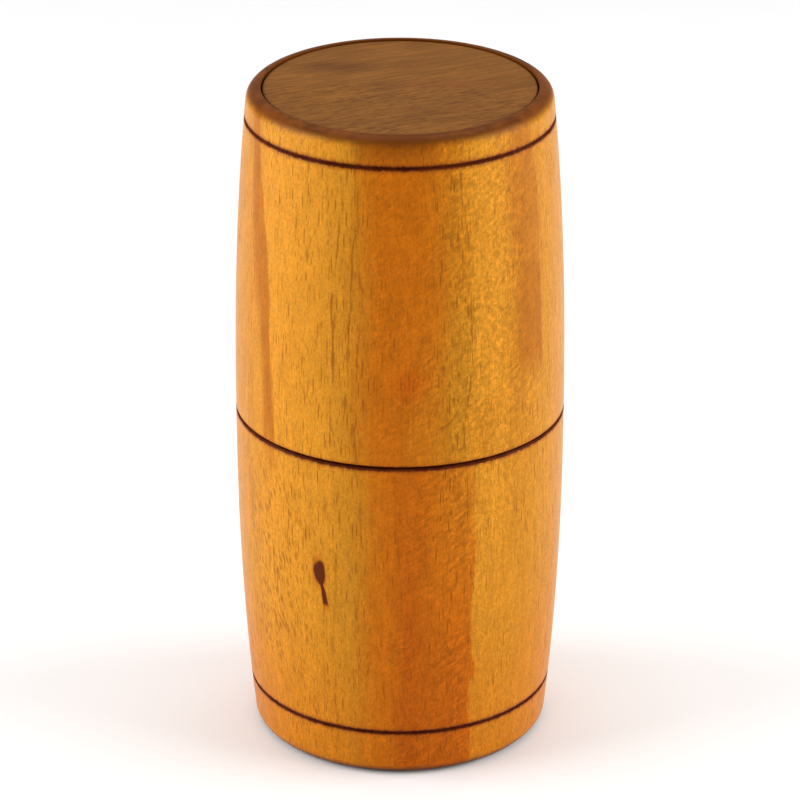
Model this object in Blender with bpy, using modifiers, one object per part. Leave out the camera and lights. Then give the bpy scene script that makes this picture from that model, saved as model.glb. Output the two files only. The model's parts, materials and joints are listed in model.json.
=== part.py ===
"""Screw nutcracker made as a turned wooden barrel in two halves.

A threaded sleeve is glued into the lower half, and the upper half screws down over it. A plunger inside the
upper half carries a swivelling steel press foot, which squeezes a nut against a steel anvil in the lower half.
The origin is on the axis at the underside of the base, and +Z points up the barrel.
"""

import math

import bmesh
import bpy

MM = 0.001

# Clearances
GAP = 0.3 * MM  # between pieces that touch, such as glued or clamped faces
THREAD_CLEARANCE = 0.4 * MM
ANVIL_CLEARANCE = 0.5 * MM  # round the anvil in the sleeve
PLUNGER_CLEARANCE = 1.0 * MM  # round the plunger and the press foot in the sleeve
BOLT_CLEARANCE = 0.5 * MM
SLEEVE_CLEARANCE = 1.5 * MM  # over the sleeve when the barrel is closed
OVERRUN = 2.0 * MM  # how far a cutter runs past the face that it opens

# Outside of the barrel
MID_RADIUS = 35.0 * MM
TOP_TAPER = 3.2 * MM  # how much less the radius is at the top than at the middle
BASE_TAPER = 3.6 * MM
UPPER_HEIGHT = 71.6 * MM
LOWER_HEIGHT = 73.6 * MM
BULGE_POWER = 2.3  # how late the side curves in towards an end, where 2 is a parabola
RIM_WIDTH = 2.9 * MM  # of the rounded rim outside the inlaid disc
BASE_ROUND = 3.0 * MM
JOINT_CHAMFER = 0.35 * MM
GROOVE_WIDTH = 0.9 * MM
GROOVE_DEPTH = 0.5 * MM
TOP_GROOVE_DROP = 6.2 * MM  # from the top to the middle of the upper groove
BASE_GROOVE_RISE = 10.7 * MM  # from the base to the middle of the lower groove

# Wooden screw thread between the halves, and the sleeve that carries it
BARREL_WALL = 7.0 * MM  # outside the thread, at the middle
THREAD_DEPTH = 3.0 * MM
THREAD_CREST = 2.4 * MM
THREAD_ROOT = 2.4 * MM
THREAD_FLANK = 1.6 * MM  # height of one sloping side
THREAD_LENGTH = 36.0 * MM
THREAD_LEAD = 1.5 * MM  # chamfer where each thread starts
SLEEVE_WALL = 3.5 * MM  # inside the thread's root
SLEEVE_SEAT = 20.0 * MM  # length glued into the lower half

# Anvil in the bottom of the nut chamber
ANVIL_THICKNESS = 5.5 * MM
DISH_DEPTH = 1.2 * MM
DISH_FLAT = 3.0 * MM  # radius of its level middle
RIDGE_PITCH = 3.0 * MM
RIDGE_DEPTH = 1.0 * MM
SCREW_COUNT = 3
SCREW_EDGE = 5.0 * MM  # from a screw's axis to the edge of the anvil
SCREW_HEAD = 3.4 * MM
SCREW_SHANK = 1.6 * MM
SCREW_LENGTH = 16.0 * MM
SCREW_POINT = 3.0 * MM
SCREW_DROP = 0.8 * MM  # of the head below the face of the anvil
SLOT_WIDTH = 1.0 * MM
SLOT_DEPTH = 1.2 * MM

# Press foot, which swivels in a flanged bush under the plunger
NUT_GAP = 12.0 * MM  # between the anvil and the foot when the barrel is closed
FOOT_THICKNESS = 9.0 * MM
FOOT_RIM = 4.0 * MM  # level band round its ridges
STEM_RADIUS = 6.0 * MM
STEM_LENGTH = 12.0 * MM
BUSH_WALL = 2.0 * MM
BUSH_LENGTH = 16.0 * MM
FLANGE_WIDTH = 4.0 * MM
FLANGE_THICKNESS = 2.0 * MM
PLUNGER_CHAMFER = 1.0 * MM

# Bolt from the top of the upper half into the press foot
BOLT_RADIUS = 4.0 * MM
BOLT_GRIP = 8.8 * MM  # length of bolt inside the stem
BOLT_CHAMFER = 0.8 * MM
HEAD_FLATS = 13.0 * MM
HEAD_HEIGHT = 5.3 * MM
WASHER_RADIUS = 12.0 * MM
WASHER_THICKNESS = 1.6 * MM
DOWEL_COUNT = 2
DOWEL_RADIUS = 2.0 * MM
DOWEL_EDGE = 5.0 * MM  # from a dowel's axis to the outside of the plunger
DOWEL_REACH = 6.0 * MM  # into each of the two pieces that it joins
DOWEL_CHAMFER = 0.4 * MM

# Disc inlaid in the top, over the bolt
DISC_THICKNESS = 6.0 * MM
DISC_DROP = 0.3 * MM  # of its face below the rim
DISC_CHAMFER = 0.3 * MM

# Facets
BODY_STEPS = 36  # round the barrel, its bores and each turn of thread
SMALL_STEPS = 24
SIDE_POINTS = 8
ROUND_POINTS = 4
MERGE = 0.00001
SHARP = math.radians(30)

# Radii that follow
TOP_RADIUS = MID_RADIUS - TOP_TAPER
THREAD_RADIUS = MID_RADIUS - BARREL_WALL
ROOT_RADIUS = THREAD_RADIUS - THREAD_DEPTH
SLEEVE_BORE = ROOT_RADIUS - SLEEVE_WALL
UPPER_BORE = ROOT_RADIUS + THREAD_CLEARANCE
RELIEF_RADIUS = THREAD_RADIUS + 2 * THREAD_CLEARANCE
ANVIL_RADIUS = SLEEVE_BORE - ANVIL_CLEARANCE
PLUNGER_RADIUS = SLEEVE_BORE - PLUNGER_CLEARANCE
SCREW_CIRCLE = ANVIL_RADIUS - SCREW_EDGE
DISH_RADIUS = SCREW_CIRCLE - SCREW_HEAD - 2 * GAP
BUSH_BORE = STEM_RADIUS + GAP
BUSH_RADIUS = BUSH_BORE + BUSH_WALL
BOLT_HOLE = BOLT_RADIUS + BOLT_CLEARANCE
WEB_BUSH_RADIUS = BOLT_HOLE + BUSH_WALL
DOWEL_CIRCLE = PLUNGER_RADIUS - DOWEL_EDGE
DISC_RADIUS = TOP_RADIUS - RIM_WIDTH - GAP

# Heights that follow, from the base up
THREAD_PITCH = THREAD_CREST + THREAD_ROOT + 2 * THREAD_FLANK
JOINT_Z = LOWER_HEIGHT
TOP_Z = JOINT_Z + UPPER_HEIGHT
UPPER_BOTTOM_Z = JOINT_Z + GAP
SLEEVE_BOTTOM_Z = JOINT_Z - SLEEVE_SEAT
SEAT_FLOOR_Z = SLEEVE_BOTTOM_Z - GAP
SLEEVE_TOP_Z = JOINT_Z + THREAD_LENGTH
CEILING_Z = SLEEVE_TOP_Z + SLEEVE_CLEARANCE
RELIEF_Z = CEILING_Z - THREAD_PITCH - OVERRUN
ANVIL_FACE_Z = SLEEVE_BOTTOM_Z + ANVIL_THICKNESS
FOOT_FACE_Z = ANVIL_FACE_Z + NUT_GAP
FOOT_TOP_Z = FOOT_FACE_Z + FOOT_THICKNESS
STEM_TOP_Z = FOOT_TOP_Z + STEM_LENGTH
FLANGE_Z = FOOT_TOP_Z + GAP
PLUNGER_BOTTOM_Z = FLANGE_Z + FLANGE_THICKNESS + GAP
PLUNGER_TOP_Z = CEILING_Z - GAP
BUSH_TOP_Z = FLANGE_Z + FLANGE_THICKNESS + BUSH_LENGTH
DISC_TOP_Z = TOP_Z - DISC_DROP
DISC_BOTTOM_Z = DISC_TOP_Z - DISC_THICKNESS
RECESS_FLOOR_Z = DISC_BOTTOM_Z - GAP
HEAD_BOTTOM_Z = RECESS_FLOOR_Z - HEAD_HEIGHT
WASHER_Z = HEAD_BOTTOM_Z - GAP - WASHER_THICKNESS
POCKET_Z = WASHER_Z - GAP
BOLT_END_Z = STEM_TOP_Z - BOLT_GRIP


def clear_scene():
    for old in list(bpy.data.objects):
        bpy.data.objects.remove(old, do_unlink=True)


def new_collection(name):
    collection = bpy.data.collections.new(name)
    bpy.context.scene.collection.children.link(collection)
    return collection


def new_material(name, colour, roughness, metallic=0.0):
    material = bpy.data.materials.new(name)
    material.use_nodes = True
    shader = material.node_tree.nodes["Principled BSDF"]
    shader.inputs["Base Color"].default_value = (*colour, 1.0)
    shader.inputs["Roughness"].default_value = roughness
    shader.inputs["Metallic"].default_value = metallic
    material.diffuse_color = (*colour, 1.0)
    return material


def make_cutter(obj, name):
    """Moves an object to the cutters, which are hidden in a render."""
    obj.name = name
    obj.hide_render = True
    obj.display_type = "WIRE"
    for collection in list(obj.users_collection):
        collection.objects.unlink(obj)
    CUTTERS.objects.link(obj)
    return obj


def put(name, mesh, material=None):
    """Links a mesh as a part of the object, or as a cutter if it has no material."""
    obj = bpy.data.objects.new(name, mesh)
    if not material:
        return make_cutter(obj, name)
    mesh.materials.append(material)
    PARTS.objects.link(obj)
    return obj


def turned(name, outline, material=None, steps=SMALL_STEPS):
    """A body turned about Z. The outline lists (radius, height) from the top down its outer side.

    It starts and ends on the axis, or else it closes on itself round a bore.
    """
    mesh = bpy.data.meshes.new(name)
    last = len(outline) - 1
    edges = [(i, i + 1) for i in range(last)]
    if outline[0][0] > MERGE:
        edges.append((last, 0))
    mesh.from_pydata([(radius, 0.0, height) for radius, height in outline], edges, [])
    obj = put(name, mesh, material)
    screw = obj.modifiers.new("Turn", "SCREW")
    screw.steps = steps
    screw.render_steps = steps
    screw.use_merge_vertices = True
    screw.merge_threshold = MERGE
    return obj


def ring(name, outer, inner, bottom, top, material):
    return turned(name, [(inner, top), (outer, top), (outer, bottom), (inner, bottom)], material)


def drill(obj, x, y, radius, bottom, top):
    """Cuts an upright round hole."""
    name = f"{obj.name} drill {len(obj.modifiers)}"
    bit = turned(name, [(0.0, top), (radius, top), (radius, bottom), (0.0, bottom)])
    bit.location = (x, y, 0.0)
    boolean(obj, bit)


def boolean(obj, other, operation="DIFFERENCE"):
    modifier = obj.modifiers.new(f"{operation.title()} {other.name}", "BOOLEAN")
    modifier.operation = operation
    modifier.object = other
    modifier.solver = "EXACT"


def around(radius, count, start_degrees=0.0):
    """Evenly spaced places on a circle, as (x, y, angle)."""
    for i in range(count):
        angle = math.radians(start_degrees + 360.0 * i / count)
        yield radius * math.cos(angle), radius * math.sin(angle), angle


def side_radius(height):
    """Outside radius of the barrel at a height."""
    if height > JOINT_Z:
        taper, share = TOP_TAPER, (height - JOINT_Z) / UPPER_HEIGHT
    else:
        taper, share = BASE_TAPER, (JOINT_Z - height) / LOWER_HEIGHT
    return MID_RADIUS - taper * share**BULGE_POWER


def side(top, bottom, groove):
    """Points down the barrel's side, with a V groove at one height."""
    heights = [top + (bottom - top) * i / (SIDE_POINTS - 1) for i in range(SIDE_POINTS)]
    points = [(side_radius(z), z) for z in heights if abs(z - groove) > 2 * GROOVE_WIDTH]
    for z in (groove + GROOVE_WIDTH / 2, groove - GROOVE_WIDTH / 2):
        points.append((side_radius(z), z))
    points.append((side_radius(groove) - GROOVE_DEPTH, groove))
    return sorted(points, key=lambda point: -point[1])


def quarter_round(centre_radius, centre_z, size, first, last):
    """An arc between two angles from straight up, in degrees, without its two ends."""
    for i in range(1, ROUND_POINTS):
        angle = math.radians(first + (last - first) * i / ROUND_POINTS)
        yield centre_radius + size * math.sin(angle), centre_z + size * math.cos(angle)


def ridges(outer, height, up):
    """Points in from a rim, down a dish of round V ridges, to the axis. Up is 1 or -1, the way it faces."""
    count = int((outer - DISH_FLAT) / RIDGE_PITCH)
    points = [(outer, height)]
    for i in range(count):
        radius = outer - i * RIDGE_PITCH
        drop = DISH_DEPTH * (i + 1) / count
        points.append((radius - RIDGE_PITCH / 2, height - up * (drop + RIDGE_DEPTH)))
        points.append((radius - RIDGE_PITCH, height - up * drop))
    points.append((0.0, height - up * DISH_DEPTH))
    return points


def ridge_half_height(radius):
    """Half the height of the sleeve's thread ridge at a radius."""
    return THREAD_CREST / 2 + (THREAD_RADIUS - radius) * THREAD_FLANK / THREAD_DEPTH


def helix_cutter(name, inner, outer, half_height, start_z, end_z):
    """A right-hand helical bar of trapezoid section, whose middle starts on +X at start_z."""
    bm = bmesh.new()
    section = []
    for radius, side_of_middle in ((inner, -1), (outer, -1), (outer, 1), (inner, 1)):
        section.append(bm.verts.new((radius, 0.0, start_z + side_of_middle * half_height(radius))))
    steps = round(BODY_STEPS * (end_z - start_z) / THREAD_PITCH)
    bmesh.ops.spin(
        bm,
        geom=[bm.faces.new(section)],
        cent=(0.0, 0.0, 0.0),
        axis=(0.0, 0.0, 1.0),
        dvec=(0.0, 0.0, THREAD_PITCH / BODY_STEPS),
        angle=math.tau * steps / BODY_STEPS,
        steps=steps,
    )
    bmesh.ops.recalc_face_normals(bm, faces=bm.faces)
    bmesh.ops.triangulate(bm, faces=bm.faces)
    mesh = bpy.data.meshes.new(name)
    bm.to_mesh(mesh)
    bm.free()
    return put(name, mesh)


def make_lower_barrel():
    seat = THREAD_RADIUS + GAP
    centre_z = BASE_ROUND
    centre_radius = side_radius(centre_z) - BASE_ROUND
    outline = [
        (0.0, SEAT_FLOOR_Z),
        (seat, SEAT_FLOOR_Z),
        (seat, JOINT_Z),
        (side_radius(JOINT_Z) - JOINT_CHAMFER, JOINT_Z),
        *side(JOINT_Z - JOINT_CHAMFER, centre_z, BASE_GROOVE_RISE),
        *quarter_round(centre_radius, centre_z, BASE_ROUND, 90, 180),
        (centre_radius, 0.0),
        (0.0, 0.0),
    ]
    barrel = turned("lower_barrel", outline, HONEY_WOOD, BODY_STEPS)
    tip_z = ANVIL_FACE_Z - SCREW_DROP - SCREW_LENGTH
    for x, y, _ in around(SCREW_CIRCLE, SCREW_COUNT, 90):
        drill(barrel, x, y, SCREW_SHANK + GAP, tip_z - GAP, SEAT_FLOOR_Z + OVERRUN)
    return barrel


def make_threaded_sleeve():
    outline = [
        (SLEEVE_BORE + JOINT_CHAMFER, SLEEVE_TOP_Z),
        (THREAD_RADIUS - THREAD_LEAD, SLEEVE_TOP_Z),
        (THREAD_RADIUS, SLEEVE_TOP_Z - THREAD_LEAD),
        (THREAD_RADIUS, SLEEVE_BOTTOM_Z),
        (SLEEVE_BORE, SLEEVE_BOTTOM_Z),
        (SLEEVE_BORE, SLEEVE_TOP_Z - JOINT_CHAMFER),
    ]
    sleeve = turned("threaded_sleeve", outline, HONEY_WOOD, BODY_STEPS)
    cutter = helix_cutter(
        "sleeve_thread_cutter",
        ROOT_RADIUS,
        THREAD_RADIUS + THREAD_CLEARANCE,
        lambda radius: THREAD_PITCH / 2 - ridge_half_height(radius),
        JOINT_Z - THREAD_PITCH / 2,
        SLEEVE_TOP_Z + THREAD_PITCH,
    )
    boolean(sleeve, cutter)
    return sleeve


def make_anvil_plate():
    bottom = SLEEVE_BOTTOM_Z
    rim = [(ANVIL_RADIUS - GAP, ANVIL_FACE_Z), (ANVIL_RADIUS, ANVIL_FACE_Z - GAP), (ANVIL_RADIUS, bottom)]
    face = list(reversed(ridges(DISH_RADIUS, ANVIL_FACE_Z, 1)))
    anvil = turned("anvil_plate", [*face, *rim, (0.0, bottom)], STEEL, BODY_STEPS)
    # The seat stays the gap away from a head whose cone leans at 45 degrees.
    seat_z = ANVIL_FACE_Z - SCREW_DROP - GAP * math.sqrt(2)
    countersink = [
        (0.0, ANVIL_FACE_Z + OVERRUN),
        (SCREW_HEAD + GAP, ANVIL_FACE_Z + OVERRUN),
        (SCREW_HEAD + GAP, seat_z),
        (SCREW_SHANK + GAP, seat_z - (SCREW_HEAD - SCREW_SHANK)),
        (SCREW_SHANK + GAP, bottom - OVERRUN),
        (0.0, bottom - OVERRUN),
    ]
    for i, (x, y, _) in enumerate(around(SCREW_CIRCLE, SCREW_COUNT, 90)):
        hole = turned(f"countersink_{i + 1}", countersink)
        hole.location = (x, y, 0.0)
        boolean(anvil, hole)
    return anvil


def make_anvil_screws():
    """Countersunk wood screws. Each has its own origin in the middle of its head."""
    cone = SCREW_HEAD - SCREW_SHANK
    outline = [
        (0.0, 0.0),
        (SCREW_HEAD, 0.0),
        (SCREW_HEAD, -GAP),
        (SCREW_SHANK, -GAP - cone),
        (SCREW_SHANK, SCREW_POINT - SCREW_LENGTH),
        (0.0, -SCREW_LENGTH),
    ]
    screws = []
    for i, (x, y, angle) in enumerate(around(SCREW_CIRCLE, SCREW_COUNT, 90)):
        screw = turned(f"anvil_screw_{i + 1}", outline, STEEL)
        screw.location = (x, y, ANVIL_FACE_Z - SCREW_DROP)
        bpy.ops.mesh.primitive_cube_add(size=1.0, location=screw.location, rotation=(0.0, 0.0, angle))
        slot = make_cutter(bpy.context.object, f"slot_{i + 1}")
        slot.scale = (2 * (SCREW_HEAD + OVERRUN), SLOT_WIDTH, 2 * SLOT_DEPTH)
        boolean(screw, slot)
        screws.append(screw)
    return screws


def make_upper_barrel():
    recess = TOP_RADIUS - RIM_WIDTH
    centre_z = TOP_Z - RIM_WIDTH
    centre_radius = side_radius(centre_z) - RIM_WIDTH
    outline = [
        (recess, TOP_Z),
        (centre_radius, TOP_Z),
        *quarter_round(centre_radius, centre_z, RIM_WIDTH, 0, 90),
        *side(centre_z, UPPER_BOTTOM_Z + JOINT_CHAMFER, TOP_Z - TOP_GROOVE_DROP),
        (side_radius(UPPER_BOTTOM_Z) - JOINT_CHAMFER, UPPER_BOTTOM_Z),
        (UPPER_BORE + THREAD_LEAD, UPPER_BOTTOM_Z),
        (UPPER_BORE, UPPER_BOTTOM_Z + THREAD_LEAD),
        (UPPER_BORE, RELIEF_Z),
        (RELIEF_RADIUS, RELIEF_Z),
        (RELIEF_RADIUS, CEILING_Z),
        (WEB_BUSH_RADIUS + GAP, CEILING_Z),
        (WEB_BUSH_RADIUS + GAP, POCKET_Z),
        (WASHER_RADIUS + GAP, POCKET_Z),
        (WASHER_RADIUS + GAP, RECESS_FLOOR_Z),
        (recess, RECESS_FLOOR_Z),
    ]
    barrel = turned("upper_barrel", outline, HONEY_WOOD, BODY_STEPS)
    cutter = helix_cutter(
        "upper_thread_cutter",
        ROOT_RADIUS - THREAD_CLEARANCE,
        THREAD_RADIUS + THREAD_CLEARANCE,
        lambda radius: ridge_half_height(radius) + THREAD_CLEARANCE,
        JOINT_Z - THREAD_PITCH,
        (RELIEF_Z + CEILING_Z) / 2,
    )
    boolean(barrel, cutter)
    for x, y, _ in around(DOWEL_CIRCLE, DOWEL_COUNT):
        drill(barrel, x, y, DOWEL_RADIUS + GAP, CEILING_Z - OVERRUN, CEILING_Z + DOWEL_REACH + GAP)
    return barrel


def make_top_disc():
    outline = [
        (0.0, DISC_TOP_Z),
        (DISC_RADIUS - DISC_CHAMFER, DISC_TOP_Z),
        (DISC_RADIUS, DISC_TOP_Z - DISC_CHAMFER),
        (DISC_RADIUS, DISC_BOTTOM_Z),
        (0.0, DISC_BOTTOM_Z),
    ]
    return turned("top_disc", outline, BROWN_WOOD, BODY_STEPS)


def make_plunger():
    outline = [
        (BOLT_HOLE, PLUNGER_TOP_Z),
        (PLUNGER_RADIUS, PLUNGER_TOP_Z),
        (PLUNGER_RADIUS, PLUNGER_BOTTOM_Z + PLUNGER_CHAMFER),
        (PLUNGER_RADIUS - PLUNGER_CHAMFER, PLUNGER_BOTTOM_Z),
        (BUSH_RADIUS + GAP, PLUNGER_BOTTOM_Z),
        (BUSH_RADIUS + GAP, BUSH_TOP_Z + GAP),
        (BOLT_HOLE, BUSH_TOP_Z + GAP),
    ]
    plunger = turned("plunger", outline, HONEY_WOOD, BODY_STEPS)
    for x, y, _ in around(DOWEL_CIRCLE, DOWEL_COUNT):
        drill(plunger, x, y, DOWEL_RADIUS + GAP, CEILING_Z - DOWEL_REACH - GAP, CEILING_Z + OVERRUN)
    return plunger


def make_foot_bush():
    outline = [
        (BUSH_BORE, BUSH_TOP_Z),
        (BUSH_RADIUS, BUSH_TOP_Z),
        (BUSH_RADIUS, FLANGE_Z + FLANGE_THICKNESS),
        (BUSH_RADIUS + FLANGE_WIDTH, FLANGE_Z + FLANGE_THICKNESS),
        (BUSH_RADIUS + FLANGE_WIDTH, FLANGE_Z),
        (BUSH_BORE, FLANGE_Z),
    ]
    return turned("foot_bush", outline, BRASS)


def make_dowels():
    """Dowels that keep the plunger from turning in the upper half. Each has its origin at its middle."""
    outline = [
        (0.0, DOWEL_REACH),
        (DOWEL_RADIUS - DOWEL_CHAMFER, DOWEL_REACH),
        (DOWEL_RADIUS, DOWEL_REACH - DOWEL_CHAMFER),
        (DOWEL_RADIUS, DOWEL_CHAMFER - DOWEL_REACH),
        (DOWEL_RADIUS - DOWEL_CHAMFER, -DOWEL_REACH),
        (0.0, -DOWEL_REACH),
    ]
    dowels = []
    for i, (x, y, _) in enumerate(around(DOWEL_CIRCLE, DOWEL_COUNT)):
        dowel = turned(f"dowel_{i + 1}", outline, HONEY_WOOD)
        dowel.location = (x, y, CEILING_Z)
        dowels.append(dowel)
    return dowels


def make_press_foot():
    ridged = PLUNGER_RADIUS - FOOT_RIM
    hole = BOLT_RADIUS + GAP
    outline = [
        (0.0, BOLT_END_Z - GAP),
        (hole, BOLT_END_Z - GAP),
        (hole, STEM_TOP_Z),
        (STEM_RADIUS, STEM_TOP_Z),
        (STEM_RADIUS, FOOT_TOP_Z),
        (PLUNGER_RADIUS - GAP, FOOT_TOP_Z),
        (PLUNGER_RADIUS, FOOT_TOP_Z - GAP),
        (PLUNGER_RADIUS, FOOT_FACE_Z + GAP),
        (PLUNGER_RADIUS - GAP, FOOT_FACE_Z),
        *ridges(ridged, FOOT_FACE_Z, -1),
    ]
    return turned("press_foot", outline, STEEL, BODY_STEPS)


def make_tie_bolt():
    shank_top = (HEAD_BOTTOM_Z + RECESS_FLOOR_Z) / 2
    outline = [
        (0.0, shank_top),
        (BOLT_RADIUS, shank_top),
        (BOLT_RADIUS, BOLT_END_Z + BOLT_CHAMFER),
        (BOLT_RADIUS - BOLT_CHAMFER, BOLT_END_Z),
        (0.0, BOLT_END_Z),
    ]
    bolt = turned("tie_bolt", outline, STEEL)
    corner = HEAD_FLATS / 2 / math.cos(math.pi / 6)
    height = HEAD_HEIGHT - GAP
    bpy.ops.mesh.primitive_cylinder_add(
        vertices=6, radius=corner, depth=height, location=(0.0, 0.0, HEAD_BOTTOM_Z + height / 2)
    )
    boolean(bolt, make_cutter(bpy.context.object, "bolt_head"), "UNION")
    return bolt


def group(name, members):
    """An empty on the barrel's axis that carries the pieces of one moving body."""
    empty = bpy.data.objects.new(name, None)
    empty.empty_display_size = MID_RADIUS
    PARTS.objects.link(empty)
    for member in members:
        member.parent = empty


def apply_and_smooth(obj):
    """Replaces an object's mesh by its modifiers' result, smooth except across sharp edges."""
    evaluated = obj.evaluated_get(bpy.context.evaluated_depsgraph_get())
    mesh = bpy.data.meshes.new_from_object(evaluated)
    obj.modifiers.clear()
    obj.data = mesh
    mesh.name = obj.name
    mesh.shade_smooth()
    mesh.set_sharp_from_angle(angle=SHARP)


clear_scene()
PARTS = new_collection("nutcracker")
CUTTERS = new_collection("cutters")

HONEY_WOOD = new_material("honey wood", (0.62, 0.26, 0.05), 0.35)
BROWN_WOOD = new_material("brown wood", (0.25, 0.11, 0.035), 0.4)
STEEL = new_material("steel", (0.55, 0.56, 0.58), 0.35, 1.0)
BRASS = new_material("brass", (0.75, 0.52, 0.2), 0.35, 1.0)

group(
    "lower_half",
    [make_lower_barrel(), make_threaded_sleeve(), make_anvil_plate(), *make_anvil_screws()],
)
group("press", [make_press_foot(), make_tie_bolt()])
group(
    "upper_half",
    [
        make_upper_barrel(),
        make_top_disc(),
        make_plunger(),
        make_foot_bush(),
        ring("web_bush", WEB_BUSH_RADIUS, BOLT_HOLE, CEILING_Z + GAP, POCKET_Z - GAP, BRASS),
        ring("head_washer", WASHER_RADIUS, BOLT_HOLE, WASHER_Z, WASHER_Z + WASHER_THICKNESS, STEEL),
        *make_dowels(),
    ],
)

bpy.context.view_layer.update()
for part in PARTS.objects:
    if part.type == "MESH":
        apply_and_smooth(part)
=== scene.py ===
"""Looks of a turned wooden screw nutcracker, laid out as a Blender add-on and run as a script.

Each operator remakes one piece, or one group of like pieces, round the packed CAD model, and gives it a
procedural finish. Sizes are in metres. The barrel stands on z = 0 with its axis on Z, and its front faces -Y.
"""

import json
import math

import bmesh
import bpy
from bpy.props import FloatProperty, FloatVectorProperty, IntProperty, PointerProperty
from mathutils import Matrix, Vector


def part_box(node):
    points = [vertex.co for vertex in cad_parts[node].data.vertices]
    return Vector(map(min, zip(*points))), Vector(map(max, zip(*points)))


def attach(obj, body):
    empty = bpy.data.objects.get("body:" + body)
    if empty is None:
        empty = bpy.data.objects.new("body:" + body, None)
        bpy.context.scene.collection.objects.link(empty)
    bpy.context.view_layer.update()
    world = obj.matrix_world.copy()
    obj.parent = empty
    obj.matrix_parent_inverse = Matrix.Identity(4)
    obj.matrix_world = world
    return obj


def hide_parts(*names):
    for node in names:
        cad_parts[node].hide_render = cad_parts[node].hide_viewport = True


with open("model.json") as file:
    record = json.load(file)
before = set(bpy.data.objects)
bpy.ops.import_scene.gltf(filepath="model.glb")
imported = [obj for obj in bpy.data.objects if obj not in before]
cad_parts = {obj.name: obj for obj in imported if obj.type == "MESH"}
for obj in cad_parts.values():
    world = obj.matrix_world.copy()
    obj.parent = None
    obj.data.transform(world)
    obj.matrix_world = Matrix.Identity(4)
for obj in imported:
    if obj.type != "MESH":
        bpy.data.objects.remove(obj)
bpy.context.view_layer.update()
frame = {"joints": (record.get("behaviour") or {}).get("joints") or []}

bl_info = {
    "name": "Turned nutcracker",
    "version": (1, 0, 0),
    "blender": (4, 5, 0),
    "location": "3D View > Sidebar > Nutcracker",
    "description": "Turns the pieces of a wooden screw nutcracker and finishes them",
    "category": "Add Mesh",
}

MM = 0.001
MERGE = 0.001 * MM
GAP = 0.3 * MM  # between pieces that touch
SMOOTH_ANGLE = math.radians(28)
BARREL_STEPS = 192  # round the barrel
TURNING_STEPS = 96  # round a small turned piece
THREAD_STEPS = 120  # round the barrel's thread
HOLE_STEPS = 48  # round a drilled hole, a bolt or a screw head
SCREW_STEPS = 32  # round a wood screw's thread
SIDE_STEPS = 48  # up one half's side
GROOVE_STEPS = 5  # across half a groove
ROUND_STEPS = 12  # along a quarter round


def low(node):
    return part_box(node)[0]


def high(node):
    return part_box(node)[1]


JOINT_Z = next(joint for joint in frame["joints"] if joint["name"] == "barrel_turn")["pos_m"][2]
MID_RADIUS = high("lower_barrel").x
TOP_Z = high("upper_barrel").z
UPPER_BOTTOM_Z = low("upper_barrel").z
SLEEVE_RADIUS = high("threaded_sleeve").x
SLEEVE_TOP_Z = high("threaded_sleeve").z
SLEEVE_BOTTOM_Z = low("threaded_sleeve").z
ANVIL_FACE_Z = high("anvil_plate").z
CEILING_Z = high("plunger").z + GAP
DOWEL_RADIUS = (high("dowel_1").y - low("dowel_1").y) / 2
ANVIL_CLEARANCE = 0.5 * MM  # round the anvil in the sleeve
STEM_RADIUS = 6.0 * MM
BOLT_RADIUS = 4.0 * MM
BOLT_HOLE = 4.5 * MM  # radius, with room for the bolt to turn
SCREW_SHANK = 1.6 * MM
FLANGE_WIDTH = 4.0 * MM  # of the foot's bush
FLANGE_THICKNESS = 2.0 * MM
FOOT_RIM = 4.0 * MM  # level band round the foot's ridges
CURL_SLANT = math.radians(-32.0)
FLECK_SLANT = math.radians(-14.0)
DISC_SLANT = math.radians(-24.0)


class BarrelSizes(bpy.types.PropertyGroup):
    """Shape of the barrel's outside."""

    top_taper: FloatProperty(
        name="Top taper",
        description="How much less the radius is at the top than at the middle",
        default=3.2 * MM,
        unit="LENGTH",
    )
    base_taper: FloatProperty(
        name="Base taper",
        description="How much less the radius is at the base than at the middle",
        default=3.6 * MM,
        unit="LENGTH",
    )
    bulge_power: FloatProperty(
        name="Bulge",
        description="How late the side curves in towards an end, where 2 is a parabola",
        default=2.3,
        subtype="FACTOR",
    )
    rim_width: FloatProperty(
        name="Rim width",
        description="Width of the rounded rim outside the inlaid disc",
        default=2.9 * MM,
        unit="LENGTH",
    )
    base_round: FloatProperty(
        name="Base rounding",
        description="Radius of the rounded lower edge",
        default=3.0 * MM,
        unit="LENGTH",
    )
    joint_chamfer: FloatProperty(
        name="Joint chamfer",
        description="Chamfer on each half where they meet",
        default=0.35 * MM,
        unit="LENGTH",
    )
    groove_width: FloatProperty(
        name="Groove width",
        description="Width of each burnt groove",
        default=0.9 * MM,
        unit="LENGTH",
    )
    groove_depth: FloatProperty(
        name="Groove depth",
        description="Depth of each burnt groove",
        default=0.5 * MM,
        unit="LENGTH",
    )
    top_groove_drop: FloatProperty(
        name="Upper groove",
        description="Distance from the top to the middle of the upper groove",
        default=6.2 * MM,
        unit="LENGTH",
    )
    base_groove_rise: FloatProperty(
        name="Lower groove",
        description="Distance from the base to the middle of the lower groove",
        default=10.7 * MM,
        unit="LENGTH",
    )


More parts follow.
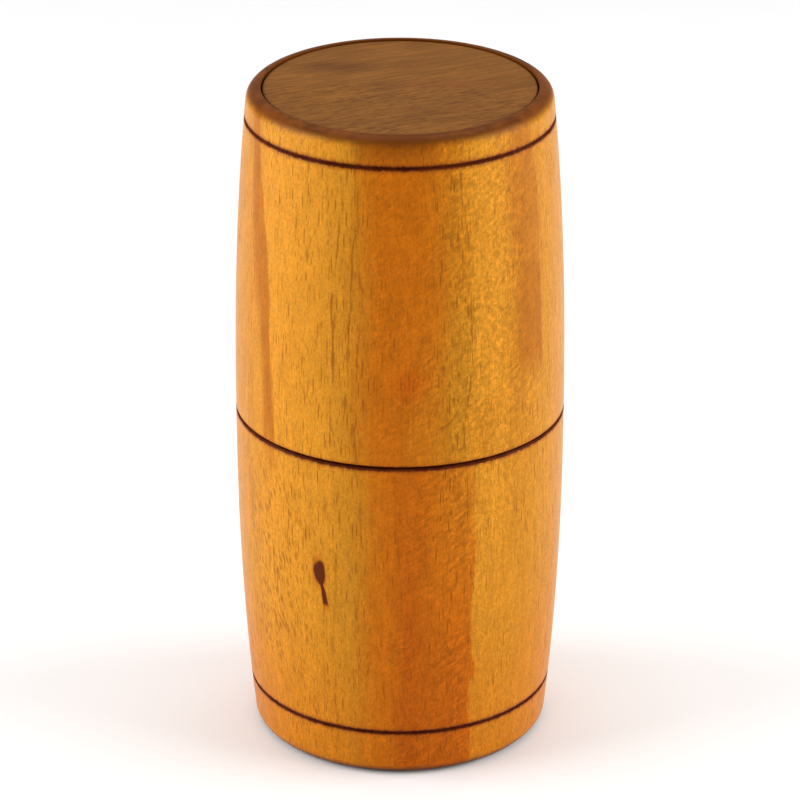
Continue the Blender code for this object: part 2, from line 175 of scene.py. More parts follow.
class ThreadSizes(bpy.types.PropertyGroup):
    """Wooden thread between the sleeve and the upper half."""

    depth: FloatProperty(
        name="Depth",
        description="Depth of the thread",
        default=3.0 * MM,
        unit="LENGTH",
    )
    crest: FloatProperty(
        name="Crest",
        description="Width of the flat on the sleeve's thread",
        default=2.4 * MM,
        unit="LENGTH",
    )
    pitch: FloatProperty(
        name="Pitch",
        description="Rise of the upper half in one turn",
        default=8.0 * MM,
        unit="LENGTH",
    )
    flank: FloatProperty(
        name="Flank",
        description="Height of one sloping side of the thread",
        default=1.6 * MM,
        unit="LENGTH",
    )
    clearance: FloatProperty(
        name="Clearance",
        description="Play between the two threads",
        default=0.4 * MM,
        unit="LENGTH",
    )
    lead: FloatProperty(
        name="Lead",
        description="Chamfer where each thread starts",
        default=1.5 * MM,
        unit="LENGTH",
    )
    ease: FloatProperty(
        name="Ease",
        description="How far each corner of the thread is rubbed down",
        default=0.35 * MM,
        unit="LENGTH",
    )


class PressSizes(bpy.types.PropertyGroup):
    """Steel and brass pieces that hold and squeeze the nut."""

    ridge_pitch: FloatProperty(
        name="Ridge pitch",
        description="Spacing of the ring ridges that grip the nut",
        default=3.0 * MM,
        unit="LENGTH",
    )
    ridge_depth: FloatProperty(
        name="Ridge depth",
        description="Depth of the furrow between two ridges",
        default=1.0 * MM,
        unit="LENGTH",
    )
    dish_depth: FloatProperty(
        name="Dish depth",
        description="How far the ridges fall towards the middle",
        default=1.2 * MM,
        unit="LENGTH",
    )
    dish_flat: FloatProperty(
        name="Dish flat",
        description="Radius of the level middle of the dish",
        default=3.0 * MM,
        unit="LENGTH",
    )
    screw_count: IntProperty(
        name="Anvil screws",
        description="Number of countersunk screws that hold the anvil",
        default=3,
    )
    head_flats: FloatProperty(
        name="Bolt head",
        description="Width of the bolt's head across its flats",
        default=13.0 * MM,
        unit="LENGTH",
    )
    bolt_pitch: FloatProperty(
        name="Bolt thread",
        description="Pitch of the bolt's thread",
        default=1.25 * MM,
        unit="LENGTH",
    )


class WoodLooks(bpy.types.PropertyGroup):
    """Colours of the lacquered wood."""

    honey: FloatVectorProperty(
        name="Honey",
        description="Ground colour of the barrel",
        default=(0.51, 0.205, 0.011),
        subtype="COLOR",
    )
    golden: FloatVectorProperty(
        name="Golden",
        description="Lightest bands of the barrel",
        default=(0.615, 0.244, 0.016),
        subtype="COLOR",
    )
    amber: FloatVectorProperty(
        name="Amber",
        description="Deeper bands of the barrel",
        default=(0.53, 0.134, 0.003),
        subtype="COLOR",
    )
    russet: FloatVectorProperty(
        name="Russet",
        description="Band at the right of the upper half",
        default=(0.38, 0.112, 0.002),
        subtype="COLOR",
    )
    rust: FloatVectorProperty(
        name="Rust",
        description="Darkest bands of the barrel",
        default=(0.43, 0.085, 0.002),
        subtype="COLOR",
    )
    salmon: FloatVectorProperty(
        name="Salmon",
        description="Leaning stripe at the left of the upper half",
        default=(0.40, 0.120, 0.003),
        subtype="COLOR",
    )
    red_spot: FloatVectorProperty(
        name="Red spot",
        description="Small red mark above the joint",
        default=(0.50, 0.078, 0.003),
        subtype="COLOR",
    )
    pore: FloatVectorProperty(
        name="Pores",
        description="Dashes and streaks along the grain",
        default=(0.225, 0.057, 0.003),
        subtype="COLOR",
    )
    burnt: FloatVectorProperty(
        name="Burnt",
        description="Friction-burnt lines and the knot",
        default=(0.075, 0.009, 0.002),
        subtype="COLOR",
    )
    singed: FloatVectorProperty(
        name="Singed",
        description="Fringe of each burnt line",
        default=(0.30, 0.060, 0.006),
        subtype="COLOR",
    )
    # This colour also paints shade on the wall of the disc's recess.
    end_grain_and_recess_shade: FloatVectorProperty(
        name="End grain",
        description="Rim and end faces, where the lacquer soaks in",
        default=(0.135, 0.036, 0.004),
        subtype="COLOR",
    )
    disc: FloatVectorProperty(
        name="Disc",
        description="Brown wood of the inlaid disc",
        default=(0.225, 0.082, 0.010),
        subtype="COLOR",
    )
    disc_dark: FloatVectorProperty(
        name="Dark disc grain",
        description="Dark grain of the inlaid disc",
        default=(0.11, 0.034, 0.003),
        subtype="COLOR",
    )
    disc_red: FloatVectorProperty(
        name="Red disc grain",
        description="Reddish grain of the inlaid disc",
        default=(0.20, 0.056, 0.008),
        subtype="COLOR",
    )
    disc_warm: FloatVectorProperty(
        name="Warm disc grain",
        description="Lighter, warmer grain of the inlaid disc",
        default=(0.28, 0.103, 0.008),
        subtype="COLOR",
    )
    pale: FloatVectorProperty(
        name="Pale",
        description="Waxed wood of the plunger and the dowels",
        default=(0.60, 0.36, 0.15),
        subtype="COLOR",
    )
    gloss: FloatProperty(
        name="Lacquer",
        description="Weight of the lacquer over the wood",
        default=0.04,
        subtype="FACTOR",
    )


class StageLooks(bpy.types.PropertyGroup):
    """Floor, camera and soft studio light."""

    floor_colour: FloatVectorProperty(
        name="Floor",
        description="Colour of the plain floor",
        default=(0.92, 0.92, 0.92),
        subtype="COLOR",
    )
    side_power: FloatProperty(
        name="Side light",
        description="Power of each soft panel beside the barrel",
        default=9.2,
        unit="POWER",
    )
    top_power: FloatProperty(
        name="Top light",
        description="Power of the soft panel overhead",
        default=12.0,
        unit="POWER",
    )
    sky: FloatProperty(
        name="Sky",
        description="Strength of the even light from all round",
        default=0.3,
        subtype="FACTOR",
    )
    lens: FloatProperty(
        name="Lens",
        description="Focal length of the camera in millimetres",
        default=199.0,
        subtype="DISTANCE_CAMERA",
    )
    distance: FloatProperty(
        name="Distance",
        description="From the camera to the point it looks at",
        default=0.945,
        unit="LENGTH",
    )
    elevation: FloatProperty(
        name="Elevation",
        description="Angle of the camera above the horizon",
        default=math.radians(24.0),
        subtype="ANGLE",
    )


# ---------------------------------------------------------------- turning


def chain(bm, outline):
    """Vertices and edges along an outline of (radius, height) or (radius, height, ease).

    The ease rounds that corner.
    """
    corners = {}
    verts = []
    for radius, height, *ease in outline:
        verts.append(bm.verts.new((radius, 0.0, height)))
        if ease:
            corners.setdefault(ease[0], []).append(verts[-1])
    for start, end in zip(verts, verts[1:]):
        bm.edges.new((start, end))
    for ease, eased in corners.items():
        bmesh.ops.bevel(
            bm,
            geom=eased,
            offset=ease,
            offset_type="OFFSET",
            affect="VERTICES",
            segments=4,
            profile=0.5,
            material=-1,
        )


def spun(outline, steps=TURNING_STEPS):
    """A bmesh of an outline spun once round Z. It is closed where the outline meets the axis."""
    bm = bmesh.new()
    chain(bm, outline)
    bmesh.ops.spin(
        bm,
        geom=[*bm.verts, *bm.edges],
        cent=(0.0, 0.0, 0.0),
        axis=(0.0, 0.0, 1.0),
        angle=math.tau,
        steps=steps,
        use_merge=True,
    )
    bmesh.ops.remove_doubles(bm, verts=bm.verts, dist=MERGE)
    return bm


def closed(outline):
    """An outline round a bore, brought back to its start."""
    middle = tuple((a + b) / 2 for a, b in zip(outline[0][:2], outline[-1][:2]))
    return [middle, *outline, middle]


def joined(*shells):
    """One bmesh that holds all the shells, which are freed."""
    whole = bmesh.new()
    for shell in shells:
        mesh = bpy.data.meshes.new("shell")
        shell.to_mesh(mesh)
        shell.free()
        whole.from_mesh(mesh)
        bpy.data.meshes.remove(mesh)
    return whole


def rim_edges(bm, height, reach=0.01 * MM):
    """Open edges of the shells at a height."""
    return [
        edge
        for edge in bm.edges
        if edge.is_boundary and all(abs(vert.co.z - height) < reach for vert in edge.verts)
    ]


def floored(bm, height):
    """Closes the flat ring between the two open loops at a height."""
    bmesh.ops.triangle_fill(bm, edges=rim_edges(bm, height), use_beauty=True, normal=(0.0, 0.0, 1.0))


def thread(section, pitch, middle_z, bottom, top, ease, shape, steps=THREAD_STEPS):
    """An open right-handed thread between two heights.

    The section lists (radius, offset from the middle) over one pitch, and its middle is on +X at middle_z.
    shape(radius, height) gives the radius that a point ends up with, for a lead or a run-out.
    """
    bm = bmesh.new()
    first = math.floor((bottom - middle_z) / pitch) - 1
    last = math.ceil((top - middle_z) / pitch)
    chain(
        bm,
        [
            (radius, middle_z + pitch * turn + offset, ease)
            for turn in range(first, last + 1)
            for radius, offset in section
        ],
    )
    bmesh.ops.subdivide_edges(bm, edges=[e for e in bm.edges if e.calc_length() > 2 * ease], cuts=3)
    bmesh.ops.spin(
        bm,
        geom=[*bm.verts, *bm.edges],
        cent=(0.0, 0.0, 0.0),
        axis=(0.0, 0.0, 1.0),
        dvec=(0.0, 0.0, pitch / steps),
        angle=math.tau,
        steps=steps,
    )
    bmesh.ops.remove_doubles(bm, verts=bm.verts, dist=MERGE)
    for vert in bm.verts:
        radius = math.hypot(vert.co.x, vert.co.y)
        scale = shape(radius, vert.co.z) / radius
        vert.co.x *= scale
        vert.co.y *= scale
    for height, facing in ((bottom, -1.0), (top, 1.0)):
        bmesh.ops.bisect_plane(
            bm,
            geom=[*bm.verts, *bm.edges, *bm.faces],
            dist=MERGE / 10,
            plane_co=(0.0, 0.0, height),
            plane_no=(0.0, 0.0, facing),
            clear_outer=True,
        )
    return bm


def finished(bm, name, body, slot, *nodes):
    """Closes a bmesh's seams, turns its faces outwards and makes it the piece that stands for CAD nodes."""
    bmesh.ops.remove_doubles(bm, verts=bm.verts, dist=MERGE)
    bmesh.ops.recalc_face_normals(bm, faces=bm.faces)
    mesh = bpy.data.meshes.new(name)
    bm.to_mesh(mesh)
    bm.free()
    piece = bpy.data.objects.new(name, mesh)
    bpy.context.scene.collection.objects.link(piece)
    mesh.materials.append(FINISHES[slot](bpy.context.scene))
    smooth(piece)
    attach(piece, body)
    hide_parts(*nodes)
    return piece


def smooth(piece):
    piece.data.shade_smooth()
    piece.data.set_sharp_from_angle(angle=SMOOTH_ANGLE)


def moved(bm, x, y, angle=0.0):
    """Turns a bmesh about Z and shifts it sideways."""
    bmesh.ops.rotate(bm, verts=bm.verts, cent=(0.0, 0.0, 0.0), matrix=Matrix.Rotation(angle, 3, "Z"))
    bmesh.ops.translate(bm, verts=bm.verts, vec=(x, y, 0.0))
    return bm


def cut(piece, cutter_bm, operation="DIFFERENCE"):
    """Cuts a bmesh's shape out of a piece, or joins or keeps it with another operation."""
    bmesh.ops.recalc_face_normals(cutter_bm, faces=cutter_bm.faces)
    mesh = bpy.data.meshes.new("cutter")
    cutter_bm.to_mesh(mesh)
    cutter_bm.free()
    cutter = bpy.data.objects.new("cutter", mesh)
    bpy.context.scene.collection.objects.link(cutter)
    modifier = piece.modifiers.new("Cut", "BOOLEAN")
    modifier.operation = operation
    modifier.object = cutter
    modifier.solver = "EXACT"
    graph = bpy.context.evaluated_depsgraph_get()
    result = bpy.data.meshes.new_from_object(piece.evaluated_get(graph))
    piece.modifiers.clear()
    old = piece.data
    piece.data = result
    bpy.data.meshes.remove(old)
    result.name = piece.name
    bpy.data.objects.remove(cutter)
    bpy.data.meshes.remove(mesh)
    smooth(piece)


def drill(piece, x, y, radius, bottom, top):
    """Bores a round upright hole in a piece."""
    cut(piece, moved(spun([(0.0, top), (radius, top), (radius, bottom), (0.0, bottom)], HOLE_STEPS), x, y))


def dowel_places():
    for i in (1, 2):
        middle = (low(f"dowel_{i}") + high(f"dowel_{i}")) / 2
        yield middle.x, middle.y


def screw_places(press):
    """(x, y, angle) of each anvil screw, from the middle of its CAD node's box."""
    for i in range(1, press.screw_count + 1):
        middle = (low(f"anvil_screw_{i}") + high(f"anvil_screw_{i}")) / 2
        yield middle.x, middle.y, math.atan2(middle.y, middle.x)


def washer(node, bore, ease):
    """A bmesh of a flat ring that fills a CAD node's box."""
    bottom, top = low(node), high(node)
    corners = [
        (bore, top.z, ease),
        (top.x, top.z, ease),
        (top.x, bottom.z, ease),
        (bore, bottom.z, ease),
    ]
    return spun(closed(corners))


# ---------------------------------------------------------------- outlines


def side_radius(barrel, height):
    """Outside radius of the barrel at a height."""
    if height > JOINT_Z:
        taper, share = barrel.top_taper, (height - JOINT_Z) / (TOP_Z - JOINT_Z)
    else:
        taper, share = barrel.base_taper, (JOINT_Z - height) / JOINT_Z
    return MID_RADIUS - taper * share**barrel.bulge_power


def side(barrel, top, bottom, groove):
    """Points down the barrel's side, with a round groove at one height."""
    half = barrel.groove_width / 2
    heights = [top + (bottom - top) * i / SIDE_STEPS for i in range(SIDE_STEPS + 1)]
    heights = [z for z in heights if abs(z - groove) > 1.5 * half]
    heights += [groove + half * i / GROOVE_STEPS for i in range(-GROOVE_STEPS, GROOVE_STEPS + 1)]
    points = []
    for z in sorted(heights, reverse=True):
        share = min(1.0, abs(z - groove) / half)
        depth = barrel.groove_depth * (1 + math.cos(math.pi * share)) / 2
        points.append((side_radius(barrel, z) - depth, z))
    return points


def quarter_round(centre_radius, centre_z, size, first, last):
    """An arc between two angles from straight up, in degrees, without its two ends."""
    for i in range(1, ROUND_STEPS):
        angle = math.radians(first + (last - first) * i / ROUND_STEPS)
        yield centre_radius + size * math.sin(angle), centre_z + size * math.cos(angle)


def ridges(press, outer, height, up):
    """Points in from a rim, down a dish of ring ridges, to the axis. Up is 1 or -1, the way it faces."""
    crest_ease, furrow_ease = 0.22 * MM, 0.15 * MM
    count = int((outer - press.dish_flat) / press.ridge_pitch)
    points = [(outer, height, crest_ease)]
    for i in range(count):
        radius = outer - i * press.ridge_pitch
        drop = press.dish_depth * (i + 1) / count
        furrow_z = height - up * (drop + press.ridge_depth)
        points.append((radius - press.ridge_pitch / 2, furrow_z, furrow_ease))
        points.append((radius - press.ridge_pitch, height - up * drop, crest_ease))
    points.append((0.0, height - up * press.dish_depth))
    return points


def thread_half(threads, depth_in):
    """Half the height of the sleeve's thread at a depth below its crest."""
    return threads.crest / 2 + depth_in * threads.flank / threads.depth


# ---------------------------------------------------------------- finishes


class Finish:
    """A Principled material in the piece's own coordinates, in millimetres.

    Each method adds nodes and returns a socket.
    """

    def __init__(self, name, **values):
        self.material = bpy.data.materials.new(name)
        self.material.use_nodes = True
        self.tree = self.material.node_tree
        self.shader = self.tree.nodes["Principled BSDF"]
        for label, value in values.items():
            label = label.replace("_", " ").title().replace("Ior", "IOR")
            self.shader.inputs[label].default_value = value
        coordinates = self.tree.nodes.new("ShaderNodeTexCoord")
        self.place = self.vector("SCALE", coordinates.outputs["Object"], scale=1 / MM)
        self.x, self.y, self.z = self.split(self.place)

    def feed(self, socket, value):
        if isinstance(value, bpy.types.NodeSocket):
            self.tree.links.new(value, socket)
        elif value is not None:
            socket.default_value = value

    def add(self, kind, *values, **settings):
        node = self.tree.nodes.new(kind)
        for name, value in settings.items():
            setattr(node, name, value)
        for socket, value in zip(node.inputs, values):
            self.feed(socket, value)
        return node

    def calc(self, operation, *values):
        return self.add("ShaderNodeMath", *values, operation=operation).outputs[0]

    def vector(self, operation, a, b=None, scale=None):
        node = self.add("ShaderNodeVectorMath", a, b, operation=operation)
        if operation == "SCALE":
            self.feed(node.inputs["Scale"], scale)
        return node.outputs[0]

    def length(self, x, y):
        return self.calc("SQRT", self.calc("ADD", self.calc("MULTIPLY", x, x), self.calc("MULTIPLY", y, y)))

    def split(self, place):
        return self.add("ShaderNodeSeparateXYZ", place).outputs

    def join(self, x, y, z):
        return self.add("ShaderNodeCombineXYZ", x, y, z).outputs[0]

    def mapped(self, place, scale, angle=0.0):
        """The place turned about Z and then scaled along each axis."""
        turned = self.add("ShaderNodeMapping", place, (0.0, 0.0, 0.0), (0.0, 0.0, angle)).outputs[0]
        return self.vector("MULTIPLY", turned, scale)

    def step(self, value, start, end, to_start=0.0, to_end=1.0):
        """A soft step of a value from one level to another."""
        node = self.add("ShaderNodeMapRange", value, start, end, to_start, to_end)
        node.interpolation_type = "SMOOTHSTEP"
        return node.outputs[0]

    def noise(self, place, scale, detail=2.0, roughness=0.5, distortion=0.0):
        node = self.add("ShaderNodeTexNoise", place)
        for label, value in (("Scale", scale), ("Detail", detail), ("Roughness", roughness)):
            node.inputs[label].default_value = value
        node.inputs["Distortion"].default_value = distortion
        return node.outputs[0]

    def cells(self, place, scale):
        """(distance to the nearest of scattered points, a random number for that point)."""
        node = self.add("ShaderNodeTexVoronoi", place)
        node.inputs["Scale"].default_value = scale
        return node.outputs["Distance"], self.split(node.outputs["Color"])[0]

    def dashes(self, place, size, rarity, width, soft=0.02):
        """Scattered marks of a width. The share of them that is left out is the rarity."""
        away, chance = self.cells(place, size)
        return self.both(self.step(away, width, width * 0.4), self.step(chance, rarity, rarity + soft))

    def blend(self, share, a, b):
        """Colour a, with a share of colour b."""
        node = self.tree.nodes.new("ShaderNodeMix")
        node.data_type = "RGBA"
        for i, value in ((0, share), (6, a), (7, b)):
            self.feed(node.inputs[i], (*value, 1.0) if isinstance(value, tuple) else value)
        return node.outputs[2]

    def shade(self, colour, amount):
        """A colour multiplied by an amount near one."""
        return self.vector("SCALE", colour, scale=amount)

    def both(self, *masks):
        """The masks multiplied together."""
        result = masks[0]
        for mask in masks[1:]:
            result = self.calc("MULTIPLY", result, mask)
        return result

    def rough(self, value):
        self.feed(self.shader.inputs["Roughness"], value)

    def bump(self, height, depth):
        """Dents the surface by a height from 0 to 1 and a depth in metres."""
        node = self.add("ShaderNodeBump")
        node.inputs["Strength"].default_value = 1.0
        node.inputs["Distance"].default_value = depth
        self.feed(node.inputs["Height"], height)
        self.feed(self.shader.inputs["Normal"], node.outputs[0])

    def colour(self, value):
        self.feed(self.shader.inputs["Base Color"], value)
        return self.material


def made_once(make):
    """Lets several operators share one material."""
    made = {}

    def get(scene):
        if make not in made:
            made[make] = make(scene)
        return made[make]

    return get


class BarrelFinish(Finish):
    """Lacquered wood with its grain up the barrel, built up layer by layer in self.skin.

    A place on the side is given as degrees round from the front and millimetres above the joint. The turn is
    the degrees with a slow wander in them, and ragged adds a fine one, so no band has a straight edge.
    """

    def __init__(self, scene):
        self.looks = scene.nutcracker_wood
        self.barrel = scene.nutcracker_barrel
        super().__init__(
            "honey wood",
            roughness=0.3,
            specular_ior_level=0.08,
            coat_weight=self.looks.gloss,
            coat_roughness=0.15,
        )
        self.shader.inputs["Specular Tint"].default_value = (1.0, 0.6, 0.35, 1.0)
        self.skin = tuple(self.looks.honey)
        self.height = self.calc("SUBTRACT", self.z, JOINT_Z / MM)
        turned = self.calc("ARCTAN2", self.x, self.calc("MULTIPLY", self.y, -1.0))
        self.degrees = self.calc("MULTIPLY", turned, math.degrees(1))
        self.radius = self.length(self.x, self.y)
        arc = self.calc("MULTIPLY", self.degrees, math.radians(MID_RADIUS / MM))
        self.unrolled = self.join(arc, self.height, 0.0)
        self.wander = self.calc("SUBTRACT", self.grained(0.16, 0.25, 3.0, 0.55), 0.5)
        self.turn = self.calc("MULTIPLY_ADD", self.wander, 9.0, self.degrees)
        ragged = self.calc("SUBTRACT", self.grained(1.1, 0.06, 2.0, 0.6), 0.5)
        self.ragged = self.calc("MULTIPLY_ADD", ragged, 7.0, self.turn)
        self.upper = self.step(self.height, -0.05, 0.05)
        self.lower = self.calc("SUBTRACT", 1.0, self.upper)

    def grained(self, scale, stretch, detail=2.0, roughness=0.5):
        """Noise drawn out up the barrel, more so the smaller the stretch."""
        return self.noise(self.mapped(self.place, (1.0, 1.0, stretch)), scale, detail, roughness)

    def around(self, angle, left, right, left_soft, right_soft):
        """A mask between two angles, each with its own softness."""
        return self.both(
            self.step(angle, left - left_soft, left + left_soft),
            self.step(angle, right - right_soft, right + right_soft, 1.0, 0.0),
        )

    def between(self, bottom, top, soft):
        """A mask between two heights."""
        return self.both(
            self.step(self.height, bottom - soft, bottom + soft),
            self.step(self.height, top - soft, top + soft, 1.0, 0.0),
        )

    def away(self, angle, rise, half_degrees, half_height):
        """Distance from a place on the side, where an oval of the half sizes round it is at 1."""
        across = self.calc("DIVIDE", self.calc("SUBTRACT", self.turn, angle), half_degrees)
        up = self.calc("DIVIDE", self.calc("SUBTRACT", self.height, rise), half_height)
        return self.length(across, up)

    def grain_where(self, mask, amount):
        """Multiplies the skin by an amount where the mask is."""
        self.skin = self.blend(mask, self.skin, self.shade(self.skin, amount))

    def stain(self, tint, *masks):
        """Lays a colour over the skin where the masks meet."""
        self.skin = self.blend(self.both(*masks), self.skin, tuple(tint))

    def mottle(self, pattern, low, high):
        """Multiplies the skin by a noise pattern spread between two amounts near one."""
        self.skin = self.shade(self.skin, self.step(pattern, 0.28, 0.72, low, high))


def bands(wood):
    """Honey, golden, amber and rust bands, each where one layer of the tree comes to the surface."""
    looks, height, turn, ragged = wood.looks, wood.height, wood.turn, wood.ragged
    rise = wood.step(height, -66.0, 10.0)
    wood.stain(looks.amber, wood.step(wood.grained(0.075, 0.18, 3.0), 0.35, 0.75, 0.0, 0.3))
    wood.stain(looks.golden, wood.around(turn, -58.0, -21.0, 6.0, 13.0), wood.step(rise, 0.0, 1.0, 0.6, 1.0))
    wood.stain(looks.golden, wood.around(turn, 24.0, 39.0, 3.0, 6.0), wood.step(rise, 0.0, 1.0, 0.45, 0.9))
    wood.stain(looks.amber, wood.step(height, -30.0, -74.0, 0.0, 0.5))

    # Upper half: an amber middle, a russet band at the right and a salmon stripe that leans in at the left
    middle = wood.calc("ADD", turn, wood.step(height, 45.0, 5.0, 0.0, 7.0))
    fading = wood.step(middle, 5.0, 28.0, 0.95, 0.0)
    wood.stain(looks.amber, wood.upper, wood.around(turn, -14.0, 50.0, 8.0, 1.0), fading)
    wood.stain(looks.russet, wood.around(ragged, 44.0, 57.0, 5.0, 1.5), wood.between(19.0, 80.0, 5.0), 0.65)
    wood.stain(looks.russet, wood.around(ragged, 46.0, 57.0, 4.0, 1.2), wood.between(18.0, 40.0, 4.0), 0.7)
    wood.stain(looks.russet, wood.around(ragged, 25.0, 34.0, 3.0, 3.0), wood.between(1.0, 14.0, 3.0), 0.3)
    lean = wood.calc("MULTIPLY_ADD", wood.both(height, height), 0.0031, turn)
    wood.stain(looks.salmon, wood.around(lean, -55.5, -48.4, 2.2, 0.8), wood.step(height, -12.0, 6.0), 0.95)
    wood.stain(looks.red_spot, wood.step(wood.away(2.7, 19.0, 7.0, 4.2), 1.3, 0.0), 0.5)

    # Lower half: one strong rust band right of the middle, which widens and darkens towards the base
    wood.stain(looks.amber, wood.lower, wood.around(turn, -12.5, 15.0, 7.0, 10.0), 0.95)
    strip = wood.around(ragged, 8.0, 26.6, 6.0, 0.8)
    wood.stain(looks.amber, wood.lower, strip, wood.step(height, 0.0, -36.0, 0.45, 1.0))
    heart = wood.around(ragged, -2.0, 9.0, 4.0, 6.0)
    wood.stain(looks.rust, wood.lower, heart, wood.step(height, 2.0, -50.0, 0.35, 0.85))
    wood.stain(looks.rust, wood.lower, strip, wood.step(height, -24.0, -60.0, 0.0, 0.65))

    # The back, which the front's bands leave plain
    wood.stain(looks.amber, wood.upper, wood.around(ragged, 96.0, 128.0, 8.0, 2.0), 0.85)
    wood.stain(looks.golden, wood.around(turn, 132.0, 172.0, 4.0, 12.0), 0.8)
    wood.stain(looks.rust, wood.lower, wood.around(ragged, 146.0, 164.0, 1.5, 7.0), 0.6)
    wood.stain(looks.amber, wood.around(ragged, -142.0, -112.0, 6.0, 2.0), 0.8)


def figure(wood):
    """Fibres, a fine speckle and the short curl that the lathe brings up. Gives the fibre's noise."""
    height, turn = wood.height, wood.turn
    fibre = wood.grained(1.9, 0.035, 3.0, 0.65)
    wood.mottle(fibre, 0.93, 1.06)
    wood.mottle(wood.grained(2.1, 0.7, 2.0, 0.7), 0.86, 1.14)
    wood.mottle(wood.grained(0.5, 0.3, 3.0, 0.6), 0.92, 1.07)

    granular = wood.noise(wood.mapped(wood.unrolled, (1.0, 0.8, 1.0)), 0.85, 4.0, 0.7)
    right = wood.both(wood.around(turn, 16.0, 48.0, 5.0, 8.0), wood.step(height, -30.0, 10.0, 0.5, 1.0))
    wood.grain_where(right, wood.step(granular, 0.34, 0.66, 0.8, 1.17))

    slanted = wood.mapped(wood.unrolled, (0.45, 1.5, 1.0), CURL_SLANT)
    ripple = wood.noise(slanted, 0.75, 3.0, 0.6, 0.8)
    patchy = wood.step(wood.grained(0.13, 0.5), 0.35, 0.6, 0.3, 1.0)
    lower_band = wood.both(wood.lower, wood.around(wood.ragged, -5.0, 26.0, 4.0, 1.0))
    upper_band = wood.both(wood.upper, wood.around(turn, -10.0, 60.0, 4.0, 6.0), 0.8)
    curled = wood.both(wood.calc("MAXIMUM", lower_band, upper_band), patchy)
    wood.grain_where(curled, wood.step(ripple, 0.33, 0.67, 0.81, 1.16))
    return fibre


def pores(wood):
    """Short dark dashes along the grain, thickest at the left of the lower half. Gives their mask."""
    looks, turn = wood.looks, wood.turn
    fine = wood.dashes(wood.mapped(wood.place, (1.0, 1.0, 0.15)), 1.9, 0.1, 0.36)
    long = wood.dashes(wood.mapped(wood.place, (1.0, 1.0, 0.09)), 1.25, 0.25, 0.3)
    marks = wood.calc("MAXIMUM", wood.both(fine, 0.75), long)
    crowded = wood.step(wood.grained(0.12, 0.3, 2.0), 0.38, 0.62, 0.2, 0.65)
    for left, right, share in ((-33.0, -12.0, 0.6), (9.0, 25.0, 0.7)):
        zone = wood.both(wood.around(turn, left, right, 6.0, 3.0), share)
        crowded = wood.calc("MAXIMUM", crowded, zone)
    wood.stain(looks.pore, marks, crowded)
    flecks = wood.dashes(wood.mapped(wood.unrolled, (1.0, 0.36, 1.0), FLECK_SLANT), 0.95, 0.05, 0.45)
    left_side = wood.around(turn, -64.0, -34.0, 6.0, 9.0)
    wood.stain(looks.pore, flecks, left_side, wood.between(-56.0, -3.0, 8.0), 0.5)
    return wood.both(marks, crowded)


def streaks(wood):
    """A few long dark streaks and one curved scratch."""
    height, turn = wood.height, wood.turn
    leaning = wood.calc("MULTIPLY_ADD", height, -0.07, turn)
    broken = wood.step(wood.grained(0.9, 0.12, 2.0, 0.6), 0.46, 0.56)
    lines = 0.0
    for angle, place in ((-20.5, leaning), (-25.4, leaning), (23.5, turn), (-15.0, turn)):
        lines = wood.calc("MAXIMUM", lines, wood.around(place, angle - 0.25, angle + 0.25, 0.3, 0.3))
    wood.stain(wood.looks.pore, lines, broken, wood.step(height, -30.0, 10.0, 0.3, 0.7))
    scratch_angle, scratch_rise = 13.5, 8.8
    across = wood.calc("SUBTRACT", wood.degrees, scratch_angle)
    above = wood.calc("SUBTRACT", height, scratch_rise)
    curve = wood.calc("MULTIPLY_ADD", wood.both(across, across), -0.085, above)
    scratch = wood.step(wood.calc("ABSOLUTE", curve), 0.45, 0.1)
    wood.stain(wood.looks.pore, scratch, wood.around(wood.degrees, scratch_angle, 22.0, 0.8, 0.8), 0.5)


def knot(wood):
    """A round dark knot with a narrow tail that ends in a small foot."""
    blob = wood.away(-29.4, -26.0, 2.5, 2.9)
    sideways = wood.calc("SUBTRACT", wood.turn, -28.9)
    tail = wood.calc("MULTIPLY_ADD", wood.calc("ADD", wood.height, 29.0), 0.5, sideways)
    tail = wood.calc("DIVIDE", wood.calc("ABSOLUTE", tail), wood.step(wood.height, -33.0, -27.0, 1.3, 1.0))
    tail_length = wood.calc("ABSOLUTE", wood.calc("ADD", wood.height, 30.2))
    stem = wood.calc("MAXIMUM", tail, wood.calc("DIVIDE", tail_length, 3.4))
    edge = wood.calc("MULTIPLY_ADD", wood.wander, 0.8, wood.calc("MINIMUM", blob, stem))
    wood.stain(wood.looks.rust, wood.step(edge, 1.7, 1.0), 0.5)
    wood.stain(wood.looks.burnt, wood.step(edge, 1.15, 0.8), 0.95)


def end_grain_and_recess_shade(wood):
    """Darker wood where the lacquer soaks in, on the rounded rim and the end faces, and painted shade on the
    wall of the disc's recess.
    """
    looks, height, turn = wood.looks, wood.height, wood.turn
    normal = wood.split(wood.add("ShaderNodeTexCoord").outputs["Normal"])
    facing = wood.calc("ABSOLUTE", normal[2])
    soaked = wood.noise(wood.mapped(wood.place, (0.35, 0.35, 0.35)), 0.7, 3.0, 0.6)
    reach = wood.calc("MULTIPLY_ADD", wood.calc("SUBTRACT", soaked, 0.5), 0.35, facing)
    dark = wood.shade(wood.join(*looks.end_grain_and_recess_shade), wood.step(soaked, 0.3, 0.7, 0.75, 1.35))
    wood.skin = wood.blend(wood.step(reach, 0.15, 0.8), wood.skin, dark)
    wood.stain(looks.burnt, wood.around(turn, -4.0, 11.0, 6.0, 6.0), wood.step(height, 68.0, 71.8), 0.4)
    front = wood.around(turn, -16.0, 14.0, 8.0, 5.0)
    wood.stain(looks.end_grain_and_recess_shade, front, wood.step(height, 63.0, 71.6), 0.6)
    # Painted shade: the wall of the disc's recess is given the rim's dark colour, standing in for the shade
    # in the recess.
    wall = high("top_disc").x / MM + 0.7
    recess = wood.both(wood.step(wood.radius, wall, wall - 0.3), wood.step(height, 60.0, 62.0))
    wood.stain(looks.end_grain_and_recess_shade, recess)


